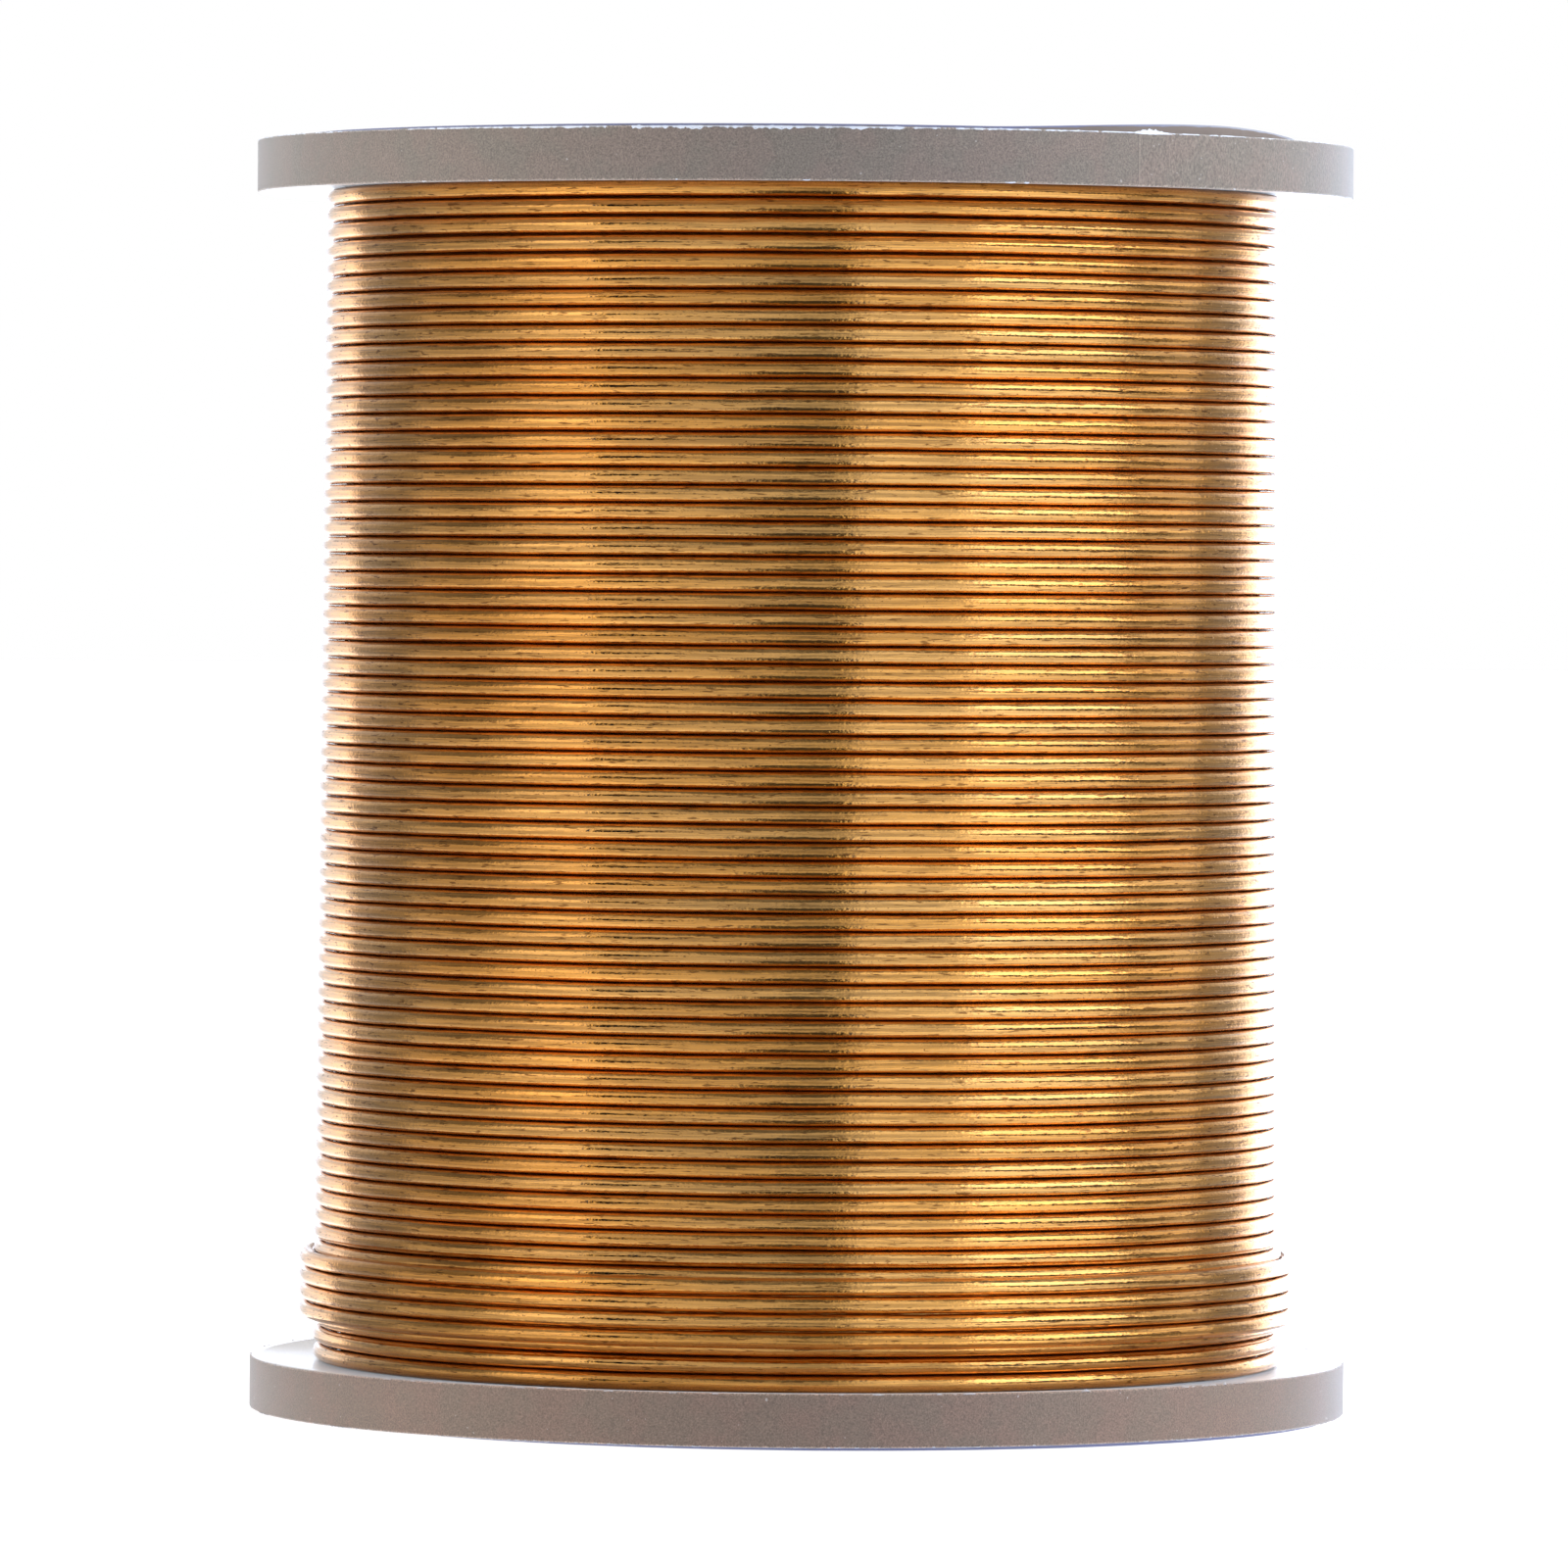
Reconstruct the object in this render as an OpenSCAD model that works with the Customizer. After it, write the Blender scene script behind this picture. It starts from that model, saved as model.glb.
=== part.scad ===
// Wire spool: a barrel with a hub tube, two plugged-in flanges, enamelled wire wound in
// layers between them, and a paper label on each end. The axis is Z, the origin is the
// middle of the lower label's outer face, and every size is in millimetres.

/* [Flanges] */
// Diameter of both flanges
flange_d = 40; // [39:0.5:60]
// Thickness of a flange disc
flange_t = 1.9; // [1.6:0.05:3]
// Clear distance between the flanges' inner faces
traverse = 42.4; // [32:0.1:60]
// Chamfer on the edges of a flange's rim
rim_chamfer = 0.15; // [0.05:0.05:0.4]

/* [Barrel] */
// Outer diameter of the barrel that the wire is wound on
barrel_d = 25; // [23:0.5:26]
// Wall of the barrel
barrel_wall = 1.5; // [1.2:0.1:1.6]
// Bore of the hub tube, which turns on a spindle
bore_d = 11; // [8:0.5:11]
// Wall of the hub tube
hub_wall = 1.5; // [1:0.1:1.6]
// Number of webs between the hub tube and the barrel
web_count = 6; // [3:1:10]
// Thickness of a web
web_t = 1.2; // [0.8:0.1:2]

/* [Flange fixing] */
// Depth to which a flange's spigot plugs into the barrel
spigot_depth = 3; // [1.5:0.5:6]
// Wall of the spigot
spigot_wall = 1.4; // [0.8:0.1:1.5]
// Clearance between the plastic pieces that plug together
fit_clearance = 0.05; // [0.02:0.01:0.1]
// Gap between a spigot's end and the webs
web_setback = 0.4; // [0.2:0.1:1]

/* [Wire] */
// Diameter of the wire over its enamel
wire_d = 0.6; // [0.4:0.05:0.65]
// Number of full layers on the barrel
wire_layers = 9; // [4:1:9]
// Radial step from one layer to the next, which nests in its grooves
layer_step = 0.54; // [0.4:0.02:0.56]
// Radial gap between wound pieces that lie on each other
layer_gap = 0.08; // [0.05:0.01:0.2]

/* [Outer turns] */
// Turns modelled in the outer layer, each standing for a band of about three
shown_turns = 22; // [12:1:22]
// Gap between two modelled turns
turn_gap = 0.42; // [0.41:0.01:0.6]
// Arc at the back over which a turn steps down by one pitch, in degrees
cross_arc = 90; // [60:15:120]

/* [Unfinished layer] */
// Turns modelled in the unfinished layer on top, each standing for a band of two
last_turns = 2; // [2:1:3]
// Height of the band that those turns cover
last_h = 2.46; // [2.3:0.02:3.3]
// Gap between the turn that climbs on to the outer layer and the first one above it
climb_gap = 0.55; // [0.42:0.01:4]

/* [Wire ends] */
// Clearance around the wire in the start channel and in the rim slit
slot_clearance = 0.1; // [0.05:0.01:0.2]
// Bend radius of the wire's start on its centreline
start_bend = 0.6; // [0.5:0.05:0.8]
// Length of the wire's start along the flange's outer face
start_run = 4; // [2:0.5:5]
// Arc over which the finish end turns down to the slit, in degrees
finish_arc = 40; // [30:5:60]
// Height of the finish end's tip above the flange's outer face
finish_tip = 0.3; // [0.1:0.1:1]

/* [Labels] */
// Diameter of a label
label_d = 37.2; // [30:0.1:38]
// Thickness of a label
label_t = 0.13; // [0.08:0.01:0.3]
// Hole in the middle of a label
label_hole_d = 14.6; // [12:0.1:18]

/* [Hidden] */
$fn = 96;

// Facets: rings in a modelled turn, and sides of a wound tube and of the finish end.
turn_rings = 24;
tube_sides = 6;
end_sides = 8;
ring_arc = 360 / turn_rings;

// Heights of the faces, from the lower label up.
z_low = label_t;
z_low_inner = z_low + flange_t;
z_top_inner = z_low_inner + traverse;
z_top = z_top_inner + flange_t;

// Radii of the barrel.
barrel_r = barrel_d / 2;
barrel_inner_r = barrel_r - barrel_wall;
bore_r = bore_d / 2;
hub_r = bore_r + hub_wall;

// Radii of the wire: its own, the outer layer, the unfinished layer and the finish end.
wire_r = wire_d / 2;
outer_r = barrel_r + wire_r + (wire_layers - 1) * layer_step;
last_r = outer_r + wire_d + layer_gap;
finish_r = last_r + wire_d + layer_gap;
// The inner layers lie under the facets of the outer layer.
inner_layers_r = (outer_r - wire_r) * cos(ring_arc / 2) - layer_gap;

// Azimuths: +Y is the back of the spool, where the turns cross over.
cross_start = 90 - cross_arc / 2;
cross_end = 90 + cross_arc / 2;
cross_share = cross_arc / 360;
// The unfinished layer climbs on to the outer one just before the crossing, and runs on a
// little past its last full turn.
climb_rings = 3;
climb_start = cross_start - climb_rings * ring_arc;
climb_share = climb_rings / turn_rings;
last_extra_rings = 2;
finish_start = climb_start + last_extra_rings * ring_arc;
slit_azimuth = finish_start + finish_arc;
start_azimuth = 130;
// Both flanges are one moulding: angle from its slit to its start channel.
slit_to_channel = 60;

// Width and pitch of a modelled turn, and the same for the unfinished layer.
turn_w = (traverse - (shown_turns - 1) * turn_gap) / shown_turns;
turn_pitch = turn_w + turn_gap;
last_w = (last_h - (last_turns - 1) * turn_gap) / last_turns;
last_pitch = last_w + turn_gap;

// Points and vectors.
function polar(r, a, z) = [r * cos(a), r * sin(a), z];
function along(a) = [-sin(a), cos(a), 0];
function unit(v) = v / norm(v);
function ease(t) = let (c = min(max(t, 0), 1)) c * c * (3 - 2 * c);

// Outline of a wound turn: a flattened hexagon, one wire thick and w wide.
function turn_outline(w) = [
    for (i = [0:tube_sides - 1])
        let (a = 360 * (i + 0.5) / tube_sides)
            [wire_r * cos(a) / cos(180 / tube_sides), w / 2 * sin(a)]
];

// Height of the outer layer's centreline after t turns, level but for the crossing.
outer_z_first = z_top_inner - turn_w / 2;
function outer_z(t) =
    let (whole = floor(t), step = ease((t - whole - 1 + cross_share) / cross_share))
        outer_z_first - turn_pitch * (whole < shown_turns - 1 ? whole + step : shown_turns - 1);

// Centreline of the outer layer as [radius, azimuth, height], from the top flange down to
// where the unfinished layer takes over.
outer_rings = round(turn_rings * (shown_turns - cross_share - climb_share));
outer_route = [
    for (i = [0:outer_rings])
        [outer_r, cross_end + i * ring_arc, outer_z(i / turn_rings)]
];

// Height of the unfinished layer t turns after it begins: it starts on the lower flange,
// crosses up to its band and then climbs turn by turn.
last_z_start = z_low_inner + last_w / 2;
last_z_first = last_z_start + last_w + climb_gap;
function last_z(t) =
    let (whole = floor(t), step = ease((t - whole - climb_share) / cross_share))
        whole == 0
            ? last_z_start + (last_z_first - last_z_start) * step
            : last_z_first + last_pitch * (whole < last_turns ? whole - 1 + step : last_turns - 1);

last_rings = turn_rings * last_turns + last_extra_rings;
last_route = [
    for (i = [0:last_rings])
        [
            outer_r + (last_r - outer_r) * ease(i / climb_rings),
            climb_start + i * ring_arc,
            last_z(i / turn_rings),
        ]
];

// One ring of a winding: a turn of width w stands upright at a stop of its route, moved
// straight ahead by some distance.
function ring_at(stop, w, ahead = 0) = [
    for (p = turn_outline(w))
        polar(stop[0] + p[0], stop[1], stop[2] + p[1]) + ahead * along(stop[1])
];

// Rings of both windings. Every end runs straight for one width of its turn, and the
// unfinished layer begins where the outer layer's end stops.
outer_winding = [
    ring_at(outer_route[0], turn_w, -turn_w),
    for (stop = outer_route) ring_at(stop, turn_w),
    ring_at(outer_route[outer_rings], turn_w, turn_w),
];
last_winding = [
    ring_at(last_route[0], last_w, turn_w),
    ring_at(last_route[0], last_w, turn_w + last_w),
    for (i = [1:last_rings]) ring_at(last_route[i], last_w),
    ring_at(last_route[last_rings], last_w, last_w),
];

// Least distance between neighbouring turns of one winding, on the points of their rings.
function least_gap(rings) = min([
    for (i = [0:len(rings) - turn_rings + 1])
        for (j = [i + turn_rings - 2:min(i + turn_rings + 2, len(rings) - 1)])
            for (p = rings[i])
                for (q = rings[j])
                    norm(p - q)
]);

// Finish end: it leaves the last turn straight, bends down and drops into the slit.
finish_z_top = last_route[last_rings][2];
finish_z_bend = z_low_inner + wire_d;
finish_z_tip = z_low + finish_tip;
finish_first = polar(last_r, finish_start, finish_z_top) + last_w * along(finish_start);
finish_second = finish_first + wire_d * along(finish_start);
bend_r = norm([finish_second.x, finish_second.y]);
bend_azimuth = atan2(finish_second.y, finish_second.x);
bend_stops = 10;
drop_stops = 4;
// Part of the bend in which the end rises on to the turns below it.
bend_rise = 0.3;
finish_route = [
    finish_first,
    for (i = [0:bend_stops])
        let (u = i / bend_stops)
            polar(
                bend_r + (finish_r - bend_r) * ease(u / bend_rise),
                bend_azimuth + (slit_azimuth - bend_azimuth) * sin(90 * u),
                finish_z_bend + (finish_z_top - finish_z_bend) * cos(90 * u)
            ),
    for (i = [1:drop_stops])
        polar(finish_r, slit_azimuth, finish_z_bend + (finish_z_tip - finish_z_bend) * i / drop_stops),
];

// Rings of a round tube along a route that never runs towards or away from the axis.
function tube_rings(route, radius, sides) = [
    for (i = [0:len(route) - 1])
        let (
            ahead = unit(route[min(i + 1, len(route) - 1)] - route[max(i - 1, 0)]),
            out = unit([route[i].x, route[i].y, 0]),
            side = unit(cross(ahead, out)),
            up = cross(side, ahead)
        )
            [
                for (k = [0:sides - 1])
                    route[i] + radius * (cos(360 * k / sides) * up + sin(360 * k / sides) * side)
            ]
];

// Closed skin over rings of equal length, in triangles.
module skin(rings) {
    n = len(rings[0]);
    last = len(rings) - 1;
    walls = [
        for (i = [0:last - 1])
            for (k = [0:n - 1])
                let (a = i * n + k, b = i * n + (k + 1) % n)
                    each [[a, b, b + n], [a, b + n, a + n]]
    ];
    start_cap = [for (k = [1:n - 2]) [0, k + 1, k]];
    end_cap = [for (k = [1:n - 2]) [last * n, last * n + k, last * n + k + 1]];
    polyhedron([for (ring = rings) each ring], concat(walls, start_cap, end_cap));
}

// Ring between two radii, standing on z = 0.
module ring(outer, inner, height) {
    rotate_extrude()
        translate([inner, 0])
            square([outer - inner, height]);
}

// The wire's start in the frame of the top flange: up through it, round the bend and
// outwards along +X, with its centreline in the XZ plane. spare widens it all round.
module start_shape(spare) {
    radius = wire_r + spare;
    run_z = z_top - wire_r - slot_clearance;
    bend_z = run_z - start_bend;
    hole_x = barrel_r + wire_r + slot_clearance;
    translate([hole_x, 0, z_top_inner - spare])
        cylinder(r = radius, h = bend_z - z_top_inner + spare);
    translate([hole_x + start_bend, 0, bend_z])
        rotate([90, 0, 180])
            rotate_extrude(angle = 90)
                translate([start_bend, 0])
                    circle(r = radius);
    translate([hole_x + start_bend, 0, run_z])
        rotate([0, 90, 0])
            cylinder(r = radius, h = start_run + spare);
}

// Channel for the wire's start, open to the flange's outer face above the run.
module start_channel() {
    channel_w = wire_d + 2 * slot_clearance;
    start_shape(slot_clearance);
    translate([barrel_r, -channel_w / 2, z_top - channel_w / 2])
        cube([channel_w + start_bend + start_run, channel_w, flange_t]);
}

// The flange moulding, placed as the top flange, with its slit towards +X.
module flange() {
    slit_w = wire_d + 2 * slot_clearance;
    spigot_r = barrel_inner_r - fit_clearance;
    difference() {
        union() {
            rotate_extrude()
                polygon([
                    [hub_r + fit_clearance, z_top_inner],
                    [flange_d / 2 - rim_chamfer, z_top_inner],
                    [flange_d / 2, z_top_inner + rim_chamfer],
                    [flange_d / 2, z_top - rim_chamfer],
                    [flange_d / 2 - rim_chamfer, z_top],
                    [hub_r + fit_clearance, z_top],
                ]);
            translate([0, 0, z_top_inner - spigot_depth])
                ring(spigot_r, spigot_r - spigot_wall, spigot_depth + flange_t / 2);
        }
        translate([finish_r - slit_w / 2, -slit_w / 2, z_top_inner - flange_t])
            cube([flange_d, slit_w, 3 * flange_t]);
        rotate([0, 0, slit_to_channel])
            start_channel();
    }
}

module barrel() {
    web_low = z_low_inner + spigot_depth + web_setback;
    web_high = z_top_inner - spigot_depth - web_setback;
    web_end = barrel_inner_r + barrel_wall / 2;
    color([0.6, 0.57, 0.54]) {
        translate([0, 0, z_low])
            ring(hub_r, bore_r, z_top - z_low);
        translate([0, 0, z_low_inner])
            ring(barrel_r, barrel_inner_r, traverse);
        for (i = [0:web_count - 1])
            rotate([0, 0, 360 * i / web_count])
                translate([hub_r - hub_wall / 2, -web_t / 2, web_low])
                    cube([web_end - hub_r + hub_wall / 2, web_t, web_high - web_low]);
    }
}

module top_flange() {
    color([0.56, 0.53, 0.5])
        rotate([0, 0, start_azimuth - slit_to_channel])
            flange();
}

// The same moulding turned over, with its slit under the wire's finish end.
module bottom_flange() {
    color([0.56, 0.53, 0.5])
        rotate([0, 0, slit_azimuth])
            translate([0, 0, z_low + z_top])
                rotate([180, 0, 0])
                    flange();
}

module label() {
    color([0.4, 0.44, 0.62])
        ring(label_d / 2, label_hole_d / 2, label_t);
}

module bottom_label() {
    label();
}

module top_label() {
    translate([0, 0, z_top])
        label();
}

module wire_start() {
    color([0.8, 0.5, 0.2])
        rotate([0, 0, start_azimuth])
            start_shape(0);
}

module wire_inner_layers() {
    color([0.62, 0.36, 0.14])
        translate([0, 0, z_low_inner])
            ring(inner_layers_r, barrel_r + fit_clearance, traverse);
}

module wire_outer_layer() {
    color([0.8, 0.5, 0.2])
        skin(outer_winding);
}

module wire_last_turns() {
    color([0.84, 0.55, 0.24])
        skin(last_winding);
}

module wire_finish() {
    color([0.84, 0.55, 0.24])
        skin(tube_rings(finish_route, wire_r, end_sides));
}

echo(outer_layer_gap = least_gap(outer_winding));
echo(last_turns_gap = least_gap(last_winding));

barrel();
bottom_flange();
top_flange();
bottom_label();
top_label();
wire_start();
wire_inner_layers();
wire_outer_layer();
wire_last_turns();
wire_finish();
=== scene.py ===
import math

import bpy
import numpy as np
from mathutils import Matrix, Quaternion, Vector


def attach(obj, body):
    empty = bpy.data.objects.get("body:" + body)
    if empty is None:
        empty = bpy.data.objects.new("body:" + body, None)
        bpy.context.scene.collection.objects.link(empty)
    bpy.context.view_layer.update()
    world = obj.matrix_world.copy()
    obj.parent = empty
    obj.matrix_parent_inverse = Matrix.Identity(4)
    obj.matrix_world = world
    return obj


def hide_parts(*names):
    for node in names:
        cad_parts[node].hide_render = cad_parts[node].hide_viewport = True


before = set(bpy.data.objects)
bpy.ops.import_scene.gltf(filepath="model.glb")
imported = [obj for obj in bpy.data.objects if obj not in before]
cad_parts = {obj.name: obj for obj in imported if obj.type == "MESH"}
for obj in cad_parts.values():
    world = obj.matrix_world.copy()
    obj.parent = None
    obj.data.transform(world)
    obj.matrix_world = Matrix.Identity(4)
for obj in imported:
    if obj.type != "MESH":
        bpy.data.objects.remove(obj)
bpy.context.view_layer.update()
mm = 0.001
tau = 2 * math.pi

camera = {
    "place": (0.0, -443.28, 31.315),  # mm
    "lens": 278.30,
    "pitch": -1.0772,  # degrees, down
    "yaw": 0.0802,
    "roll": 0.4393,
}


def addCamera():
    data = bpy.data.cameras.new("camera")
    data.lens = camera["lens"]
    data.sensor_width = 36
    data.clip_start = 0.01
    data.clip_end = 20
    eye = bpy.data.objects.new("camera", data)
    # Rz(yaw) . Rx(90 + pitch) . Rz(roll), from the world's axes to the camera's own.
    eye.rotation_mode = "QUATERNION"
    yaw = quaternion((0, 0, 1), camera["yaw"])
    pitch = quaternion((1, 0, 0), 90 + camera["pitch"])
    roll = quaternion((0, 0, 1), camera["roll"])
    eye.rotation_quaternion = yaw @ pitch @ roll
    eye.location = [value * mm for value in camera["place"]]
    bpy.context.scene.collection.objects.link(eye)
    bpy.context.scene.camera = eye


def quaternion(axis, degrees):
    return Quaternion(axis, math.radians(degrees))


addCamera()
bpy.context.scene.view_settings.view_transform = "Standard"
print("camera placed")


def polar(radius, azimuth, height):
    # Points from radius, azimuth in degrees and height, as rows of x, y, z.
    radius, azimuth, height = np.broadcast_arrays(radius, np.radians(azimuth), height)
    return np.stack([radius * np.cos(azimuth), radius * np.sin(azimuth), height], -1)


def evenly(count):
    # Azimuths of so many even steps round a full turn, in degrees.
    return np.arange(count) * 360 / count


def signed(degrees):
    # The same angles between -180 and 180.
    return (degrees + 180) % 360 - 180


def unit(rows):
    # Each row over its own length.
    return rows / np.linalg.norm(rows, axis=1)[:, None]


def ease(share):
    # Smooth step from 0 to 1: 3 s^2 - 2 s^3, held outside.
    share = np.clip(share, 0, 1)
    return share * share * (3 - 2 * share)


def addMesh(name, points, quads, caps=(), attributes=None, uv=None, smooth=True):
    # Mesh object from an array of points in mm, quads over them and a few larger faces. An
    # attribute fits the array or spreads over it.
    mesh = bpy.data.meshes.new(name)
    loops = np.concatenate([quads.ravel(), *[np.asarray(cap) for cap in caps]]).astype(np.int32)
    sizes = np.concatenate([np.full(len(quads), 4), [len(cap) for cap in caps]]).astype(np.int32)
    starts = np.concatenate([[0], np.cumsum(sizes)[:-1]]).astype(np.int32)
    mesh.vertices.add(points.size // 3)
    mesh.vertices.foreach_set("co", (points * mm).astype(np.float32).ravel())
    mesh.loops.add(len(loops))
    mesh.loops.foreach_set("vertex_index", loops)
    mesh.polygons.add(len(sizes))
    mesh.polygons.foreach_set("loop_start", starts)
    mesh.update(calc_edges=True)
    for key, values in (attributes or {}).items():
        layer = mesh.attributes.new(key, "FLOAT", "POINT")
        values = np.broadcast_to(values, points.shape[:-1])
        layer.data.foreach_set("value", values.astype(np.float32).ravel())
    if uv is not None:
        layer = mesh.uv_layers.new(name="OFBake")
        full = np.zeros((len(loops), 2), np.float32)
        full[: len(uv)] = uv
        layer.data.foreach_set("uv", full.ravel())
    mesh.validate()
    piece = bpy.data.objects.new(name, mesh)
    bpy.context.scene.collection.objects.link(piece)
    if smooth:
        smoothFaces(mesh)
    return piece


def addSweep(name, points, attributes=None, ring=True, flipped=False, uv=None):
    # Skin over a grid of points whose rows are closed sections: quads (i, j), (i+1, j),
    # (i+1, j+1), (i, j+1). A ring closes on its first row, and otherwise both ends are filled.
    rows, columns = points.shape[:2]
    last = (rows - 1) * columns
    i, j = np.divmod(np.arange(rows * columns if ring else last), columns)
    row, nextRow, nextColumn = i * columns, (i + 1) % rows * columns, (j + 1) % columns
    quads = np.stack([row + j, nextRow + j, nextRow + nextColumn, row + nextColumn], -1)
    caps = [] if ring else [range(columns - 1, -1, -1), range(last, last + columns)]
    if flipped:
        quads, caps = quads[:, ::-1], [cap[::-1] for cap in caps]
    return addMesh(name, points, quads, caps, attributes, uv)


def smoothFaces(mesh):
    mesh.polygons.foreach_set("use_smooth", np.ones(len(mesh.polygons), bool))
    mesh.set_sharp_from_angle(angle=math.radians(35))


def joinPieces(name, parts):
    with bpy.context.temp_override(
        active_object=parts[0], selected_editable_objects=parts, selected_objects=parts
    ):
        bpy.ops.object.join()
    parts[0].name = name
    parts[0].data.name = name
    return parts[0]


def lathe(name, profile, segments, attributes=None):
    # Closed ring: a closed profile of (radius, height) turned about Z.
    radius, height = np.array(profile, float).T
    return addSweep(name, polar(radius, evenly(segments)[:, None], height), attributes)


def rounded(corners):
    # Profile with rounded corners: each corner (radius, height, fillet) becomes an arc that
    # is tangent to both of its sides.
    points = []
    share = np.linspace(0, 1, 5)[:, None]  # five points to an arc
    for index, (x, y, fillet) in enumerate(corners):
        corner = np.array([x, y], float)
        if fillet <= 0:
            points.append(corner)
            continue
        before = np.array(corners[index - 1][:2], float) - corner
        after = np.array(corners[(index + 1) % len(corners)][:2], float) - corner
        before /= np.linalg.norm(before)
        after /= np.linalg.norm(after)
        half = math.acos(np.clip(before @ after, -1, 1)) / 2
        centre = corner + (before + after) / np.linalg.norm(before + after) * fillet / math.sin(half)
        first = corner + before * fillet / math.tan(half) - centre
        last = corner + after * fillet / math.tan(half) - centre
        turn = math.acos(np.clip(first @ last / fillet**2, -1, 1))
        arc = (np.sin((1 - share) * turn) * first + np.sin(share * turn) * last) / math.sin(turn)
        points.extend(centre + arc)
    return np.array(points)


def waves(place, amplitude, longest, shortest, count, seed):
    # Smooth wander: sines of random phase whose wavelengths run from the longest to the
    # shortest, each as strong as the others, with this root mean square height in all.
    draw = np.random.default_rng(seed)
    lengths = np.geomspace(longest, shortest, count)
    phases = draw.uniform(0, tau, count)
    total = sum(np.sin(tau * place / span + phase) for span, phase in zip(lengths, phases))
    return total * amplitude * math.sqrt(2 / count)


def setInputs(tree, node, inputs):
    # Each input gets a value, or a socket that it is linked to.
    for key, value in inputs.items():
        if isinstance(value, bpy.types.NodeSocket):
            tree.links.new(value, node.inputs[key])
        else:
            node.inputs[key].default_value = value


def addNode(tree, kind, inputs=None, **settings):
    made = tree.nodes.new(kind)
    for key, value in settings.items():
        setattr(made, key, value)
    setInputs(tree, made, inputs or {})
    return made


def maths(tree, operation, a, b=0.0, c=0.0):
    return addNode(tree, "ShaderNodeMath", {0: a, 1: b, 2: c}, operation=operation).outputs[0]


def remap(tree, value, fromLow, fromHigh, toLow=0.0, toHigh=1.0, smooth=True):
    kind = "SMOOTHSTEP" if smooth else "LINEAR"
    inputs = {0: value, 1: fromLow, 2: fromHigh, 3: toLow, 4: toHigh}
    return addNode(tree, "ShaderNodeMapRange", inputs, interpolation_type=kind).outputs[0]


def blendColour(tree, share, a, b, how="MIX"):
    mixed = addNode(tree, "ShaderNodeMix", {0: share, 6: a, 7: b}, data_type="RGBA", blend_type=how)
    return mixed.outputs[2]


def blendValue(tree, share, a, b):
    return addNode(tree, "ShaderNodeMix", {0: share, 2: a, 3: b}, data_type="FLOAT").outputs[0]


def noise(tree, vector, scale, detail=2.0, roughness=0.5):
    inputs = {"Vector": vector, "Scale": scale, "Detail": detail, "Roughness": roughness}
    return addNode(tree, "ShaderNodeTexNoise", inputs).outputs["Fac"]


def shaded(tree, colour, factor):
    # The colour times a grey factor.
    grey = addNode(tree, "ShaderNodeCombineColor", {0: factor, 1: factor, 2: factor}).outputs[0]
    return blendColour(tree, 1.0, colour, grey, "MULTIPLY")


def attribute(tree, name):
    return addNode(tree, "ShaderNodeAttribute", attribute_name=name).outputs["Fac"]


def bumped(tree, strength, distance, height):
    # Normals of a surface with this height on it.
    inputs = {"Strength": strength, "Distance": distance, "Height": height}
    return addNode(tree, "ShaderNodeBump", inputs).outputs["Normal"]


def newMaterial(name):
    # Material with its Principled shader wired up; returns material, tree and shader.
    material = bpy.data.materials.new(name)
    material.use_nodes = True
    tree = material.node_tree
    return material, tree, tree.nodes["Principled BSDF"]


def newGroup(name, takes, gives):
    # Node group with float or vector sockets; returns group, its input and output nodes.
    kinds = {"f": "NodeSocketFloat", "v": "NodeSocketVector"}
    group = bpy.data.node_groups.new(name, "ShaderNodeTree")
    for direction, sockets in (("INPUT", takes), ("OUTPUT", gives)):
        for label, kind in sockets:
            group.interface.new_socket(label, in_out=direction, socket_type=kinds[kind])
    return group, group.nodes.new("NodeGroupInput"), group.nodes.new("NodeGroupOutput")


def sparkGrainGroup():
    # Eroded mould grain: fine noise for the pits, a coarser one for its cloudiness.
    group, takes, gives = newGroup(
        "sparkGrain",
        [("Vector", "v"), ("Scale", "f"), ("Cloud Scale", "f")],
        [("Height", "f"), ("Cloud", "f")],
    )
    takes = takes.outputs
    pits = noise(group, takes["Vector"], takes["Scale"], 3.0, 0.65)
    clouds = noise(group, takes["Vector"], takes["Cloud Scale"], 3.0, 0.55)
    setInputs(group, gives, {"Height": pits, "Cloud": clouds})
    return group


def dustGroup():
    # Dust: specks where a fine noise passes a level, thicker where a coarse one is high.
    group, takes, gives = newGroup(
        "dust", [("Vector", "v"), ("Scale", "f"), ("Level", "f")], [("Mask", "f")]
    )
    takes = takes.outputs
    specks = noise(group, takes["Vector"], takes["Scale"], 1.0, 0.4)
    drift = noise(group, takes["Vector"], maths(group, "MULTIPLY", takes["Scale"], 0.08))
    lifted = maths(group, "MULTIPLY_ADD", maths(group, "SUBTRACT", drift, 0.5), 0.25, specks)
    high = maths(group, "ADD", takes["Level"], 0.04)
    setInputs(group, gives, {"Mask": remap(group, lifted, takes["Level"], high)})
    return group


def grained(tree, spot, scale, cloudScale):
    # Height of the grain and its clouds.
    inputs = {"Vector": spot, "Scale": scale, "Cloud Scale": cloudScale}
    made = addNode(tree, "ShaderNodeGroup", inputs, node_tree=sparkGrain)
    return made.outputs["Height"], made.outputs["Cloud"]


def dusted(tree, tint, spot, dirt):
    # The tint under specks of dust.
    inputs = {"Vector": spot, "Scale": dirt["scale"], "Level": dirt["level"]}
    specks = addNode(tree, "ShaderNodeGroup", inputs, node_tree=dust).outputs["Mask"]
    return blendColour(tree, maths(tree, "MULTIPLY", specks, dirt["amount"]), tint, dirt["colour"])


sparkGrain = sparkGrainGroup()
dust = dustGroup()

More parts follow.
